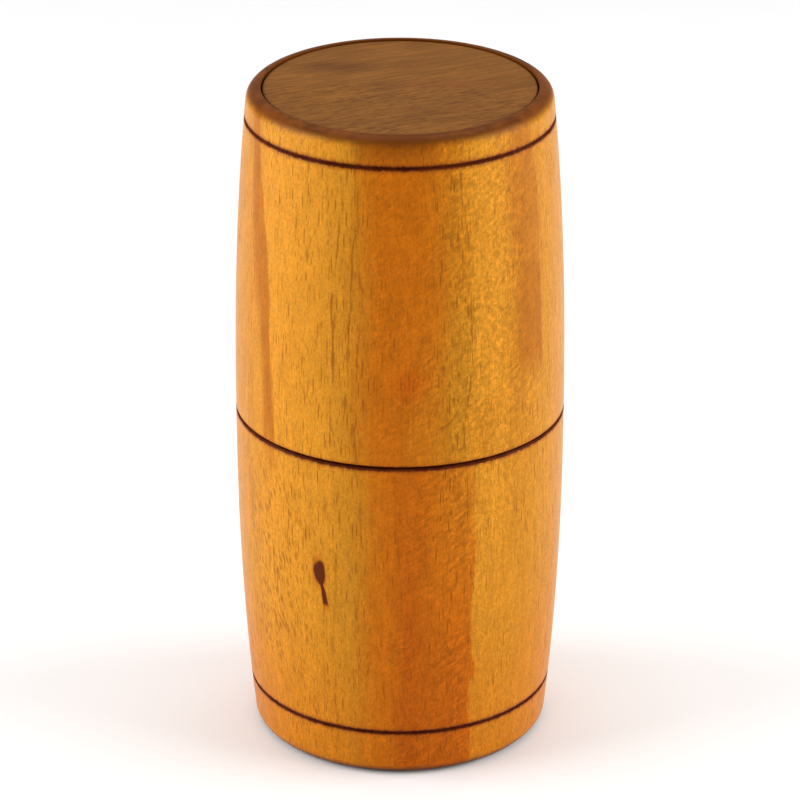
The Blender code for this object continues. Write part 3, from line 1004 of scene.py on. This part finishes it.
def burnt_lines(wood):
    """Dark lines with a singed fringe in the two grooves and at the joint. Gives their mask."""
    barrel = wood.barrel
    uneven = wood.calc("SUBTRACT", wood.grained(1.4, 0.4, 2.0, 0.6), 0.5)
    burn, singe = 0.0, 0.0
    for line in (TOP_Z - barrel.top_groove_drop, JOINT_Z, barrel.base_groove_rise):
        away = wood.calc("ABSOLUTE", wood.calc("SUBTRACT", wood.z, line / MM))
        away = wood.calc("MULTIPLY_ADD", uneven, 0.9, away)
        outside = side_radius(barrel, line) / MM
        shallow = wood.step(wood.radius, outside - 2.2, outside - 1.2)
        burn = wood.calc("MAXIMUM", burn, wood.both(wood.step(away, 0.85, 0.25), shallow))
        singe = wood.calc("MAXIMUM", singe, wood.both(wood.step(away, 1.5, 0.5), shallow))
    wood.stain(wood.looks.singed, singe, 0.5)
    wood.stain(wood.looks.burnt, burn, wood.step(wood.grained(0.4, 0.5), 0.35, 0.6, 0.8, 1.0))
    return burn


@made_once
def honey_wood(scene):
    """Lacquered barrel wood, from its ground colour to the burnt lines."""
    wood = BarrelFinish(scene)
    bands(wood)
    fibre = figure(wood)
    dashes = pores(wood)
    streaks(wood)
    knot(wood)
    end_grain_and_recess_shade(wood)
    burn = burnt_lines(wood)
    dull = wood.calc("ADD", dashes, burn)
    wood.rough(wood.calc("MULTIPLY_ADD", dull, 0.25, wood.step(fibre, 0.2, 0.8, 0.42, 0.32)))
    wood.bump(wood.calc("MULTIPLY_ADD", dashes, -0.6, wood.calc("MULTIPLY", fibre, 0.5)), 0.05 * MM)
    return wood.colour(wood.skin)


@made_once
def brown_wood(scene):
    """Inlaid disc: flat-sawn brown wood whose grain runs across it, up to the right."""
    looks = scene.nutcracker_wood
    dark_grain = tuple(looks.disc_dark)
    wood = Finish("brown wood", roughness=0.5, specular_ior_level=0.15)
    drift = wood.noise(wood.mapped(wood.place, (0.5, 1.0, 1.0), DISC_SLANT), 0.09, 3.0, 0.55)
    skin = wood.blend(wood.step(drift, 0.35, 0.7, 0.0, 0.3), tuple(looks.disc), dark_grain)

    # Patches, each at (x, y) with its half widths in millimetres
    for tint, x, y, half_x, half_y, strength in (
        (looks.disc_dark, -13.0, 12.0, 9.0, 4.0, 0.75),
        (looks.disc_red, 9.0, 1.0, 13.0, 2.2, 0.6),
        (looks.disc_warm, -16.0, -3.0, 9.0, 8.0, 0.4),
    ):
        across = wood.calc("DIVIDE", wood.calc("SUBTRACT", wood.x, x), half_x)
        along = wood.calc("DIVIDE", wood.calc("SUBTRACT", wood.y, y), half_y)
        near = wood.step(wood.calc("MULTIPLY_ADD", drift, 1.2, wood.length(across, along)), 2.1, 0.5)
        skin = wood.blend(wood.both(near, strength), skin, tuple(tint))

    streak = wood.noise(wood.mapped(wood.place, (0.07, 1.0, 1.0), DISC_SLANT), 1.3, 3.0, 0.65)
    skin = wood.shade(skin, wood.step(streak, 0.3, 0.7, 0.8, 1.16))
    speck = wood.noise(wood.mapped(wood.place, (0.6, 1.0, 1.0), DISC_SLANT), 1.6, 2.0, 0.7)
    skin = wood.shade(skin, wood.step(speck, 0.3, 0.7, 0.93, 1.07))
    front = wood.step(wood.y, 8.0, -6.0, 0.1, 1.0)
    for stretch, size, rarity, width in ((0.13, 1.1, 0.1, 0.4), (0.2, 1.8, 0.2, 0.45)):
        place = wood.mapped(wood.place, (stretch, 1.0, 0.5), DISC_SLANT)
        lines = wood.both(wood.dashes(place, size, rarity, width, 0.05), front)
        skin = wood.blend(wood.both(lines, 0.85), skin, dark_grain)

    edge = high("top_disc").x / MM
    glue_line = wood.step(wood.length(wood.x, wood.y), edge - 0.8, edge - 0.1)
    broken = wood.step(wood.noise(wood.place, 0.05, 2.0), 0.4, 0.6, 0.2, 0.9)
    skin = wood.blend(wood.both(glue_line, broken), skin, dark_grain)
    wood.rough(wood.step(streak, 0.2, 0.8, 0.58, 0.48))
    wood.bump(wood.calc("MULTIPLY_ADD", lines, -0.7, wood.calc("MULTIPLY", streak, 0.4)), 0.05 * MM)
    return wood.colour(skin)


@made_once
def pale_wood(scene):
    """Waxed wood inside the barrel, with faint lathe lines."""
    pale = tuple(scene.nutcracker_wood.pale)
    deeper = tuple(0.72 * part for part in pale)
    wood = Finish("pale wood", roughness=0.5, specular_ior_level=0.4)
    fibre = wood.noise(wood.mapped(wood.place, (1.0, 1.0, 0.04)), 1.5, 3.0, 0.6)
    drift = wood.noise(wood.mapped(wood.place, (1.0, 1.0, 0.2)), 0.2, 2.0)
    skin = wood.blend(wood.step(drift, 0.3, 0.7), pale, deeper)
    skin = wood.shade(skin, wood.step(fibre, 0.25, 0.75, 0.85, 1.1))
    lathe = wood.noise(wood.mapped(wood.place, (0.02, 0.02, 1.0)), 3.5, 2.0, 0.6)
    wood.rough(wood.step(fibre, 0.2, 0.8, 0.58, 0.46))
    wood.bump(wood.calc("MULTIPLY_ADD", lathe, 0.6, wood.calc("MULTIPLY", fibre, 0.3)), 0.04 * MM)
    return wood.colour(skin)


def turned_metal(name, tint, rough, tool_marks):
    """Metal from the lathe, with fine rings round the axis and faint wear."""
    metal = Finish(name, metallic=1.0, roughness=rough)
    rings = metal.noise(metal.join(metal.length(metal.x, metal.y), metal.z, 0.0), 5.0, 3.0, 0.7)
    wear = metal.noise(metal.place, 0.35, 3.0, 0.6)
    turned = metal.step(rings, 0.3, 0.7, rough - 0.07, rough + 0.07)
    metal.rough(metal.calc("ADD", turned, metal.step(wear, 0.4, 0.8, 0.0, 0.1)))
    metal.bump(rings, tool_marks)
    return metal.colour(metal.shade(metal.join(*tint), metal.step(wear, 0.3, 0.8, 1.0, 0.82)))


@made_once
def steel(scene):
    return turned_metal("turned steel", (0.55, 0.56, 0.58), 0.3, 0.02 * MM)


@made_once
def zinc_steel(scene):
    return turned_metal("zinc steel", (0.62, 0.63, 0.65), 0.34, 0.008 * MM)


@made_once
def brass(scene):
    return turned_metal("turned brass", (0.78, 0.58, 0.26), 0.28, 0.015 * MM)


FINISHES = {
    "honey_wood": honey_wood,
    "brown_wood": brown_wood,
    "pale_wood": pale_wood,
    "steel": steel,
    "zinc_steel": zinc_steel,
    "brass": brass,
}


# ---------------------------------------------------------------- pieces


class UpperBarrel(bpy.types.Operator):
    """Turn the upper half, with its rounded rim, disc recess, bolt pocket and inside thread"""

    bl_idname = "nutcracker.upper_barrel"
    bl_label = "Upper barrel"

    def execute(self, context):
        barrel, threads = context.scene.nutcracker_barrel, context.scene.nutcracker_thread
        bore = SLEEVE_RADIUS - threads.depth + threads.clearance
        groove_radius = SLEEVE_RADIUS + threads.clearance
        relief_radius = SLEEVE_RADIUS + 2 * threads.clearance
        relief_z = CEILING_Z - threads.pitch - 2 * MM
        recess = high("top_disc").x + GAP
        recess_floor = low("top_disc").z - GAP
        pocket_radius = high("head_washer").x + GAP
        pocket_z = low("head_washer").z - GAP
        hole = high("web_bush").x + GAP
        centre_z = TOP_Z - barrel.rim_width
        centre_radius = side_radius(barrel, centre_z) - barrel.rim_width
        groove_z = TOP_Z - barrel.top_groove_drop
        chamfer_z = UPPER_BOTTOM_Z + barrel.joint_chamfer
        joint_radius = side_radius(barrel, UPPER_BOTTOM_Z)
        corner, fine = 0.3 * MM, 0.15 * MM
        shell = spun(
            [
                (relief_radius, relief_z),
                (relief_radius, CEILING_Z, corner),
                (hole, CEILING_Z, fine),
                (hole, pocket_z, fine),
                (pocket_radius, pocket_z, fine),
                (pocket_radius, recess_floor, fine),
                (recess, recess_floor, fine),
                (recess, TOP_Z - fine),
                *quarter_round(recess + fine, TOP_Z - fine, fine, -90, 0),
                (centre_radius, TOP_Z),
                *quarter_round(centre_radius, centre_z, barrel.rim_width, 0, 90),
                *side(barrel, centre_z, chamfer_z, groove_z),
                (joint_radius - barrel.joint_chamfer, UPPER_BOTTOM_Z, fine),
                (joint_radius - 1.0 * MM, UPPER_BOTTOM_Z),
            ],
            BARREL_STEPS,
        )
        section = []
        for radius, way in ((bore, -1), (groove_radius, -1), (groove_radius, 1), (bore, 1)):
            section.append((radius, way * (thread_half(threads, SLEEVE_RADIUS - radius) + threads.clearance)))

        def lead(radius, height):
            return max(radius, bore + threads.lead - (height - UPPER_BOTTOM_Z))

        inside = thread(section, threads.pitch, JOINT_Z, UPPER_BOTTOM_Z, relief_z, threads.ease, lead)
        whole = joined(shell, inside)
        for level in (UPPER_BOTTOM_Z, relief_z):
            floored(whole, level)
        piece = finished(whole, "upper_half_barrel", "upper_half", "honey_wood", "upper_barrel")
        for x, y in dowel_places():
            drill(piece, x, y, DOWEL_RADIUS + GAP, CEILING_Z - MM, high("dowel_1").z + GAP)
        return {"FINISHED"}


class LowerBarrel(bpy.types.Operator):
    """Turn the lower half, with its rounded base and the seat that the sleeve is glued into"""

    bl_idname = "nutcracker.lower_barrel"
    bl_label = "Lower barrel"

    def execute(self, context):
        barrel = context.scene.nutcracker_barrel
        seat = SLEEVE_RADIUS + GAP
        seat_floor = SLEEVE_BOTTOM_Z - GAP
        centre_z = barrel.base_round
        centre_radius = side_radius(barrel, centre_z) - barrel.base_round
        corner, fine = 0.3 * MM, 0.15 * MM
        whole = spun(
            [
                (0.0, seat_floor),
                (seat, seat_floor, corner),
                (seat, JOINT_Z, fine),
                (side_radius(barrel, JOINT_Z) - barrel.joint_chamfer, JOINT_Z, fine),
                *side(barrel, JOINT_Z - barrel.joint_chamfer, centre_z, barrel.base_groove_rise),
                *quarter_round(centre_radius, centre_z, barrel.base_round, 90, 180),
                (centre_radius, 0.0),
                (0.0, 0.0),
            ],
            BARREL_STEPS,
        )
        piece = finished(whole, "lower_half_barrel", "lower_half", "honey_wood", "lower_barrel")
        for x, y, _ in screw_places(context.scene.nutcracker_press):
            drill(piece, x, y, SCREW_SHANK + GAP, low("anvil_screw_1").z - GAP, seat_floor + MM)
        return {"FINISHED"}


class TopDisc(bpy.types.Operator):
    """Turn the brown disc inlaid in the top"""

    bl_idname = "nutcracker.top_disc"
    bl_label = "Top disc"

    def execute(self, context):
        bottom, top = low("top_disc").z, high("top_disc")

        # The ring at half the radius keeps the shading level in the middle
        whole = spun(
            [
                (0.0, top.z),
                (top.x / 2, top.z),
                (top.x, top.z, 0.45 * MM),
                (top.x, bottom, 0.2 * MM),
                (0.0, bottom),
            ],
            BARREL_STEPS,
        )
        finished(whole, "inlaid_top_disc", "upper_half", "brown_wood", "top_disc")
        return {"FINISHED"}


class ThreadedSleeve(bpy.types.Operator):
    """Turn the sleeve and chase its outside thread"""

    bl_idname = "nutcracker.threaded_sleeve"
    bl_label = "Threaded sleeve"

    def execute(self, context):
        threads = context.scene.nutcracker_thread
        bore = high("anvil_plate").x + ANVIL_CLEARANCE
        root = SLEEVE_RADIUS - threads.depth
        run_out = threads.pitch / 2
        start_z = JOINT_Z - run_out
        section = []
        for radius, way in ((root, -1), (SLEEVE_RADIUS, -1), (SLEEVE_RADIUS, 1), (root, 1)):
            section.append((radius, way * thread_half(threads, SLEEVE_RADIUS - radius)))

        def lead(radius, height):
            share = min(1.0, max(0.0, (height - start_z) / run_out))
            share = share * share * (3 - 2 * share)
            radius = SLEEVE_RADIUS + (radius - SLEEVE_RADIUS) * share
            return min(radius, SLEEVE_RADIUS - threads.lead + SLEEVE_TOP_Z - height)

        outside = thread(section, threads.pitch, JOINT_Z, start_z, SLEEVE_TOP_Z, threads.ease, lead)
        corner = 0.35 * MM
        shell = spun(
            [
                (bore + 1.0 * MM, SLEEVE_TOP_Z),
                (bore, SLEEVE_TOP_Z, corner),
                (bore, SLEEVE_BOTTOM_Z, corner),
                (SLEEVE_RADIUS, SLEEVE_BOTTOM_Z, corner),
                (SLEEVE_RADIUS, start_z - 0.4 * MM),
            ],
            THREAD_STEPS,
        )
        whole = joined(outside, shell)
        floored(whole, SLEEVE_TOP_Z)
        bmesh.ops.bridge_loops(whole, edges=rim_edges(whole, start_z, 0.5 * MM))
        finished(whole, "sleeve_with_thread", "lower_half", "honey_wood", "threaded_sleeve")
        return {"FINISHED"}


class Plunger(bpy.types.Operator):
    """Turn the wooden plunger and bore it for the bolt and the bush"""

    bl_idname = "nutcracker.plunger"
    bl_label = "Plunger"

    def execute(self, context):
        bottom, top = low("plunger"), high("plunger")
        bush = high("foot_bush").x - FLANGE_WIDTH + GAP
        bush_top = high("foot_bush").z + GAP
        fine = 0.2 * MM
        whole = spun(
            closed(
                [
                    (BOLT_HOLE, top.z, fine),
                    (top.x, top.z, fine),
                    (top.x, bottom.z, 1.2 * MM),
                    (bush, bottom.z, fine),
                    (bush, bush_top, fine),
                    (BOLT_HOLE, bush_top, fine),
                ]
            ),
            BARREL_STEPS,
        )
        piece = finished(whole, "turned_plunger", "upper_half", "pale_wood", "plunger")
        for x, y in dowel_places():
            drill(piece, x, y, DOWEL_RADIUS + GAP, low("dowel_1").z - GAP, top.z + MM)
        return {"FINISHED"}


class Dowels(bpy.types.Operator):
    """Cut the fluted dowels that keep the plunger from turning"""

    bl_idname = "nutcracker.dowels"
    bl_label = "Dowels"

    def execute(self, context):
        for i in (1, 2):
            node = f"dowel_{i}"
            bottom, top = low(node), high(node)
            middle = (bottom + top) / 2
            chamfer, flutes, flute_share = 0.4 * MM, 18, 0.92
            bm = bmesh.new()
            bmesh.ops.create_circle(bm, segments=2 * flutes, radius=DOWEL_RADIUS, cap_ends=True)
            for n, vert in enumerate(bm.verts):
                if n % 2:
                    vert.co *= flute_share
            bmesh.ops.translate(bm, verts=bm.verts, vec=(0.0, 0.0, bottom.z))
            bottom_face = bm.faces[:][0]
            grown = bmesh.ops.extrude_face_region(bm, geom=[bottom_face], use_keep_orig=True)["geom"]
            top_verts = [item for item in grown if isinstance(item, bmesh.types.BMVert)]
            bmesh.ops.translate(bm, verts=top_verts, vec=(0.0, 0.0, top.z - bottom.z))
            rims = [e for e in bm.edges if abs(e.verts[0].co.z - e.verts[1].co.z) < MERGE]
            bmesh.ops.bevel(
                bm, geom=rims, offset=chamfer, affect="EDGES", segments=2, profile=0.5, material=-1
            )
            moved(bm, middle.x, middle.y)
            finished(bm, f"fluted_dowel_{i}", "upper_half", "pale_wood", node)
        return {"FINISHED"}


class PressFoot(bpy.types.Operator):
    """Turn the ridged steel foot with its stem"""

    bl_idname = "nutcracker.press_foot"
    bl_label = "Press foot"

    def execute(self, context):
        press = context.scene.nutcracker_press
        face, stem_top = low("press_foot").z, high("press_foot").z
        foot_top = low("foot_bush").z - GAP
        radius = high("press_foot").x
        hole, hole_bottom = BOLT_RADIUS + GAP, low("tie_bolt").z - GAP
        fine, ease = 0.2 * MM, 0.4 * MM
        whole = spun(
            [
                (0.0, hole_bottom),
                (hole, hole_bottom, fine),
                (hole, stem_top, fine),
                (STEM_RADIUS, stem_top, ease),
                (STEM_RADIUS, foot_top, fine),
                (radius, foot_top, ease),
                (radius, face, ease),
                *ridges(press, radius - FOOT_RIM, face, -1),
            ],
            BARREL_STEPS,
        )
        finished(whole, "ridged_press_foot", "press", "steel", "press_foot")
        return {"FINISHED"}


class AnvilPlate(bpy.types.Operator):
    """Turn the ridged anvil and countersink it for its screws"""

    bl_idname = "nutcracker.anvil_plate"
    bl_label = "Anvil plate"

    def execute(self, context):
        press = context.scene.nutcracker_press
        bottom, radius = low("anvil_plate").z, high("anvil_plate").x
        head = high("anvil_screw_1")
        head_radius = (head.x - low("anvil_screw_1").x) / 2
        circle = head.y - head_radius
        dish = circle - head_radius - 2 * GAP
        whole = spun(
            [
                *reversed(ridges(press, dish, ANVIL_FACE_Z, 1)),
                (radius, ANVIL_FACE_Z, 0.4 * MM),
                (radius, bottom, 0.3 * MM),
                (0.0, bottom),
            ],
            BARREL_STEPS,
        )
        piece = finished(whole, "ridged_anvil", "lower_half", "steel", "anvil_plate")
        seat_z = head.z - GAP * math.sqrt(2)
        for x, y, _ in screw_places(press):
            countersink = spun(
                [
                    (0.0, ANVIL_FACE_Z + MM),
                    (head_radius + GAP, ANVIL_FACE_Z + MM),
                    (head_radius + GAP, seat_z),
                    (SCREW_SHANK + GAP, seat_z - (head_radius - SCREW_SHANK)),
                    (SCREW_SHANK + GAP, bottom - MM),
                    (0.0, bottom - MM),
                ],
                HOLE_STEPS,
            )
            cut(piece, moved(countersink, x, y))
        return {"FINISHED"}


class AnvilScrews(bpy.types.Operator):
    """Cut the countersunk wood screws that hold the anvil"""

    bl_idname = "nutcracker.anvil_screws"
    bl_label = "Anvil screws"

    def execute(self, context):
        press = context.scene.nutcracker_press
        for i, (x, y, angle) in enumerate(screw_places(press), 1):
            node = f"anvil_screw_{i}"
            tip, face = low(node).z, high(node).z
            head, shank, core = (high(node).x - low(node).x) / 2, SCREW_SHANK, 1.15 * MM
            neck_z = face - GAP - (head - shank) - 2 * MM
            point, pitch = 3 * MM, 1.4 * MM

            def taper(radius, height):
                start = min(1.0, max(0.0, (neck_z - height) / pitch))
                return (shank + (radius - shank) * start) * min(1.0, max(0.02, (height - tip) / point))

            coil = thread(
                [(core, -0.55 * MM), (shank, -0.05 * MM), (shank, 0.05 * MM), (core, 0.55 * MM)],
                pitch,
                tip,
                tip + 0.02 * MM,
                neck_z,
                0.03 * MM,
                taper,
                SCREW_STEPS,
            )
            bmesh.ops.holes_fill(coil, edges=rim_edges(coil, tip + 0.02 * MM))
            shell = spun(
                [
                    (0.0, face),
                    (head, face, 0.1 * MM),
                    (head, face - GAP, 0.05 * MM),
                    (shank, face - GAP - (head - shank), 0.1 * MM),
                    (shank, neck_z + 0.3 * MM),
                ],
                HOLE_STEPS,
            )
            whole = joined(coil, shell)
            bmesh.ops.bridge_loops(whole, edges=rim_edges(whole, neck_z, 0.4 * MM))
            moved(whole, x, y)
            piece = finished(whole, f"wood_screw_{i}", "lower_half", "zinc_steel", node)
            slot, slot_width, slot_depth = bmesh.new(), 1.0 * MM, 1.2 * MM
            bmesh.ops.create_cube(slot, size=1.0)
            bmesh.ops.scale(slot, vec=(3 * head, slot_width, 2 * slot_depth), verts=slot.verts)
            bmesh.ops.translate(slot, vec=(0.0, 0.0, face), verts=slot.verts)
            cut(piece, moved(slot, x, y, angle))
        return {"FINISHED"}


class TieBolt(bpy.types.Operator):
    """Cut the hexagon bolt that carries the press foot"""

    bl_idname = "nutcracker.tie_bolt"
    bl_label = "Tie bolt"

    def execute(self, context):
        press = context.scene.nutcracker_press
        end, head_top = low("tie_bolt").z, high("tie_bolt").z
        head_bottom = high("head_washer").z + GAP
        radius, core, neck_z = BOLT_RADIUS, 3.35 * MM, end + 22 * MM
        corner = press.head_flats / 2 / math.cos(math.pi / 6)
        half = press.bolt_pitch / 2

        def taper(distance, height):
            start = min(1.0, max(0.0, (neck_z - height) / press.bolt_pitch))
            distance = radius + (distance - radius) * start
            return min(distance, radius - 0.8 * MM + height - end)

        coil = thread(
            [(core, -0.9 * half), (radius, -0.12 * half), (radius, 0.12 * half), (core, 0.9 * half)],
            press.bolt_pitch,
            end,
            end,
            neck_z,
            0.04 * MM,
            taper,
            HOLE_STEPS,
        )
        bmesh.ops.holes_fill(coil, edges=rim_edges(coil, end))
        overlap = 0.5 * MM
        shell = spun(
            [
                (0.0, head_bottom + overlap),
                (radius, head_bottom + overlap),
                (radius, neck_z + 0.3 * MM),
            ],
            HOLE_STEPS,
        )
        whole = joined(coil, shell)
        bmesh.ops.bridge_loops(whole, edges=rim_edges(whole, neck_z, 0.4 * MM))
        piece = finished(whole, "hexagon_tie_bolt", "press", "zinc_steel", "tie_bolt")
        head = bmesh.new()
        bmesh.ops.create_cone(
            head, cap_ends=True, segments=6, radius1=corner, radius2=corner, depth=head_top - head_bottom
        )
        bmesh.ops.translate(head, verts=head.verts, vec=(0.0, 0.0, (head_top + head_bottom) / 2))
        cut(piece, head, "UNION")
        slope = math.tan(math.radians(30))
        flat = press.head_flats / 2 * 0.95
        envelope = spun(
            [
                (0.0, head_top),
                (flat, head_top),
                (corner + MM, head_top - (corner + MM - flat) * slope),
                (corner + MM, end - MM),
                (0.0, end - MM),
            ]
        )
        cut(piece, envelope, "INTERSECT")
        return {"FINISHED"}


class Bushes(bpy.types.Operator):
    """Turn the brass bushes that the press foot and the bolt run in"""

    bl_idname = "nutcracker.bushes"
    bl_label = "Brass bushes"

    def execute(self, context):
        bottom, top = low("foot_bush"), high("foot_bush")
        bore, body, fine = STEM_RADIUS + GAP, top.x - FLANGE_WIDTH, 0.25 * MM
        whole = spun(
            closed(
                [
                    (bore, top.z, fine),
                    (body, top.z, fine),
                    (body, bottom.z + FLANGE_THICKNESS, fine),
                    (top.x, bottom.z + FLANGE_THICKNESS, fine),
                    (top.x, bottom.z, fine),
                    (bore, bottom.z, fine),
                ]
            )
        )
        finished(whole, "flanged_foot_bush", "upper_half", "brass", "foot_bush")
        ring = washer("web_bush", BOLT_HOLE, fine)
        finished(ring, "bolt_bush", "upper_half", "brass", "web_bush")
        return {"FINISHED"}


class HeadWasher(bpy.types.Operator):
    """Turn the washer under the bolt's head"""

    bl_idname = "nutcracker.head_washer"
    bl_label = "Head washer"

    def execute(self, context):
        ring = washer("head_washer", BOLT_HOLE, 0.2 * MM)
        finished(ring, "bolt_washer", "upper_half", "zinc_steel", "head_washer")
        return {"FINISHED"}


class Stage(bpy.types.Operator):
    """Lay the floor and set the soft lights and the camera"""

    bl_idname = "nutcracker.stage"
    bl_label = "Stage"

    def execute(self, context):
        scene = context.scene
        looks = scene.nutcracker_stage
        bm = bmesh.new()
        bmesh.ops.create_grid(bm, x_segments=1, y_segments=1, size=6.0)
        mesh = bpy.data.meshes.new("floor")
        bm.to_mesh(mesh)
        bm.free()
        floor = bpy.data.objects.new("floor", mesh)
        scene.collection.objects.link(floor)
        paper = Finish("pale paper", roughness=0.9, specular_ior_level=0.1)
        shade = paper.step(paper.noise(paper.place, 0.02, 2.0), 0.3, 0.7, 0.99, 1.0)
        mesh.materials.append(paper.colour(paper.shade(paper.join(*looks.floor_colour), shade)))

        target = Vector((0.0, 0.0, JOINT_Z + 0.2 * MM))
        for name, side in (("left panel", -1), ("right panel", 1)):
            self.panel(scene, name, (0.82 * side, -0.1, 0.35), target, (0.7, 0.9), looks.side_power)
        self.panel(scene, "top panel", (0.0, 0.35, 1.6), target, (1.6, 1.6), looks.top_power)

        world = bpy.data.worlds.new("studio")
        scene.world = world
        world.use_nodes = True
        background = world.node_tree.nodes["Background"]
        background.inputs["Color"].default_value = (1.0, 1.0, 1.0, 1.0)
        background.inputs["Strength"].default_value = looks.sky
        scene.view_settings.view_transform = "Standard"

        lens = bpy.data.cameras.new("camera")
        lens.lens = looks.lens
        lens.sensor_width = 36.0
        lens.clip_start = 0.01
        camera = bpy.data.objects.new("camera", lens)
        scene.collection.objects.link(camera)
        back = Vector((0.0, -math.cos(looks.elevation), math.sin(looks.elevation)))
        camera.location = target + looks.distance * back
        camera.rotation_euler = back.to_track_quat("Z", "Y").to_euler()
        scene.camera = camera
        return {"FINISHED"}

    def panel(self, scene, name, place, target, size, power):
        """A soft rectangular light that faces the target."""
        light = bpy.data.lights.new(name, "AREA")
        light.shape = "RECTANGLE"
        light.size, light.size_y = size
        light.energy = power
        lamp = bpy.data.objects.new(name, light)
        scene.collection.objects.link(lamp)
        lamp.location = place
        lamp.rotation_euler = (Vector(place) - target).to_track_quat("Z", "Y").to_euler()


OPERATORS = (
    UpperBarrel,
    LowerBarrel,
    TopDisc,
    ThreadedSleeve,
    Plunger,
    Dowels,
    PressFoot,
    AnvilPlate,
    AnvilScrews,
    TieBolt,
    Bushes,
    HeadWasher,
    Stage,
)
SETTINGS = {
    "nutcracker_barrel": BarrelSizes,
    "nutcracker_thread": ThreadSizes,
    "nutcracker_press": PressSizes,
    "nutcracker_wood": WoodLooks,
    "nutcracker_stage": StageLooks,
}


class NutcrackerPanel(bpy.types.Panel):
    """Sizes, colours and pieces of the nutcracker"""

    bl_idname = "VIEW3D_PT_nutcracker"
    bl_label = "Turned nutcracker"
    bl_space_type = "VIEW_3D"
    bl_region_type = "UI"
    bl_category = "Nutcracker"

    def draw(self, context):
        layout = self.layout
        for name, group in SETTINGS.items():
            box = layout.box()
            box.label(text=group.__doc__.rstrip("."))
            for value in group.__annotations__:
                box.prop(getattr(context.scene, name), value)
        for operator in OPERATORS:
            layout.operator(operator.bl_idname)


def register():
    for cls in (*SETTINGS.values(), *OPERATORS, NutcrackerPanel):
        bpy.utils.register_class(cls)
    for name, group in SETTINGS.items():
        setattr(bpy.types.Scene, name, PointerProperty(type=group))


def unregister():
    for name in SETTINGS:
        delattr(bpy.types.Scene, name)
    for cls in reversed((*SETTINGS.values(), *OPERATORS, NutcrackerPanel)):
        bpy.utils.unregister_class(cls)


def main():
    register()
    for operator in OPERATORS:
        section, name = operator.bl_idname.split(".")
        getattr(getattr(bpy.ops, section), name)()


if __name__ == "__main__":
    main()
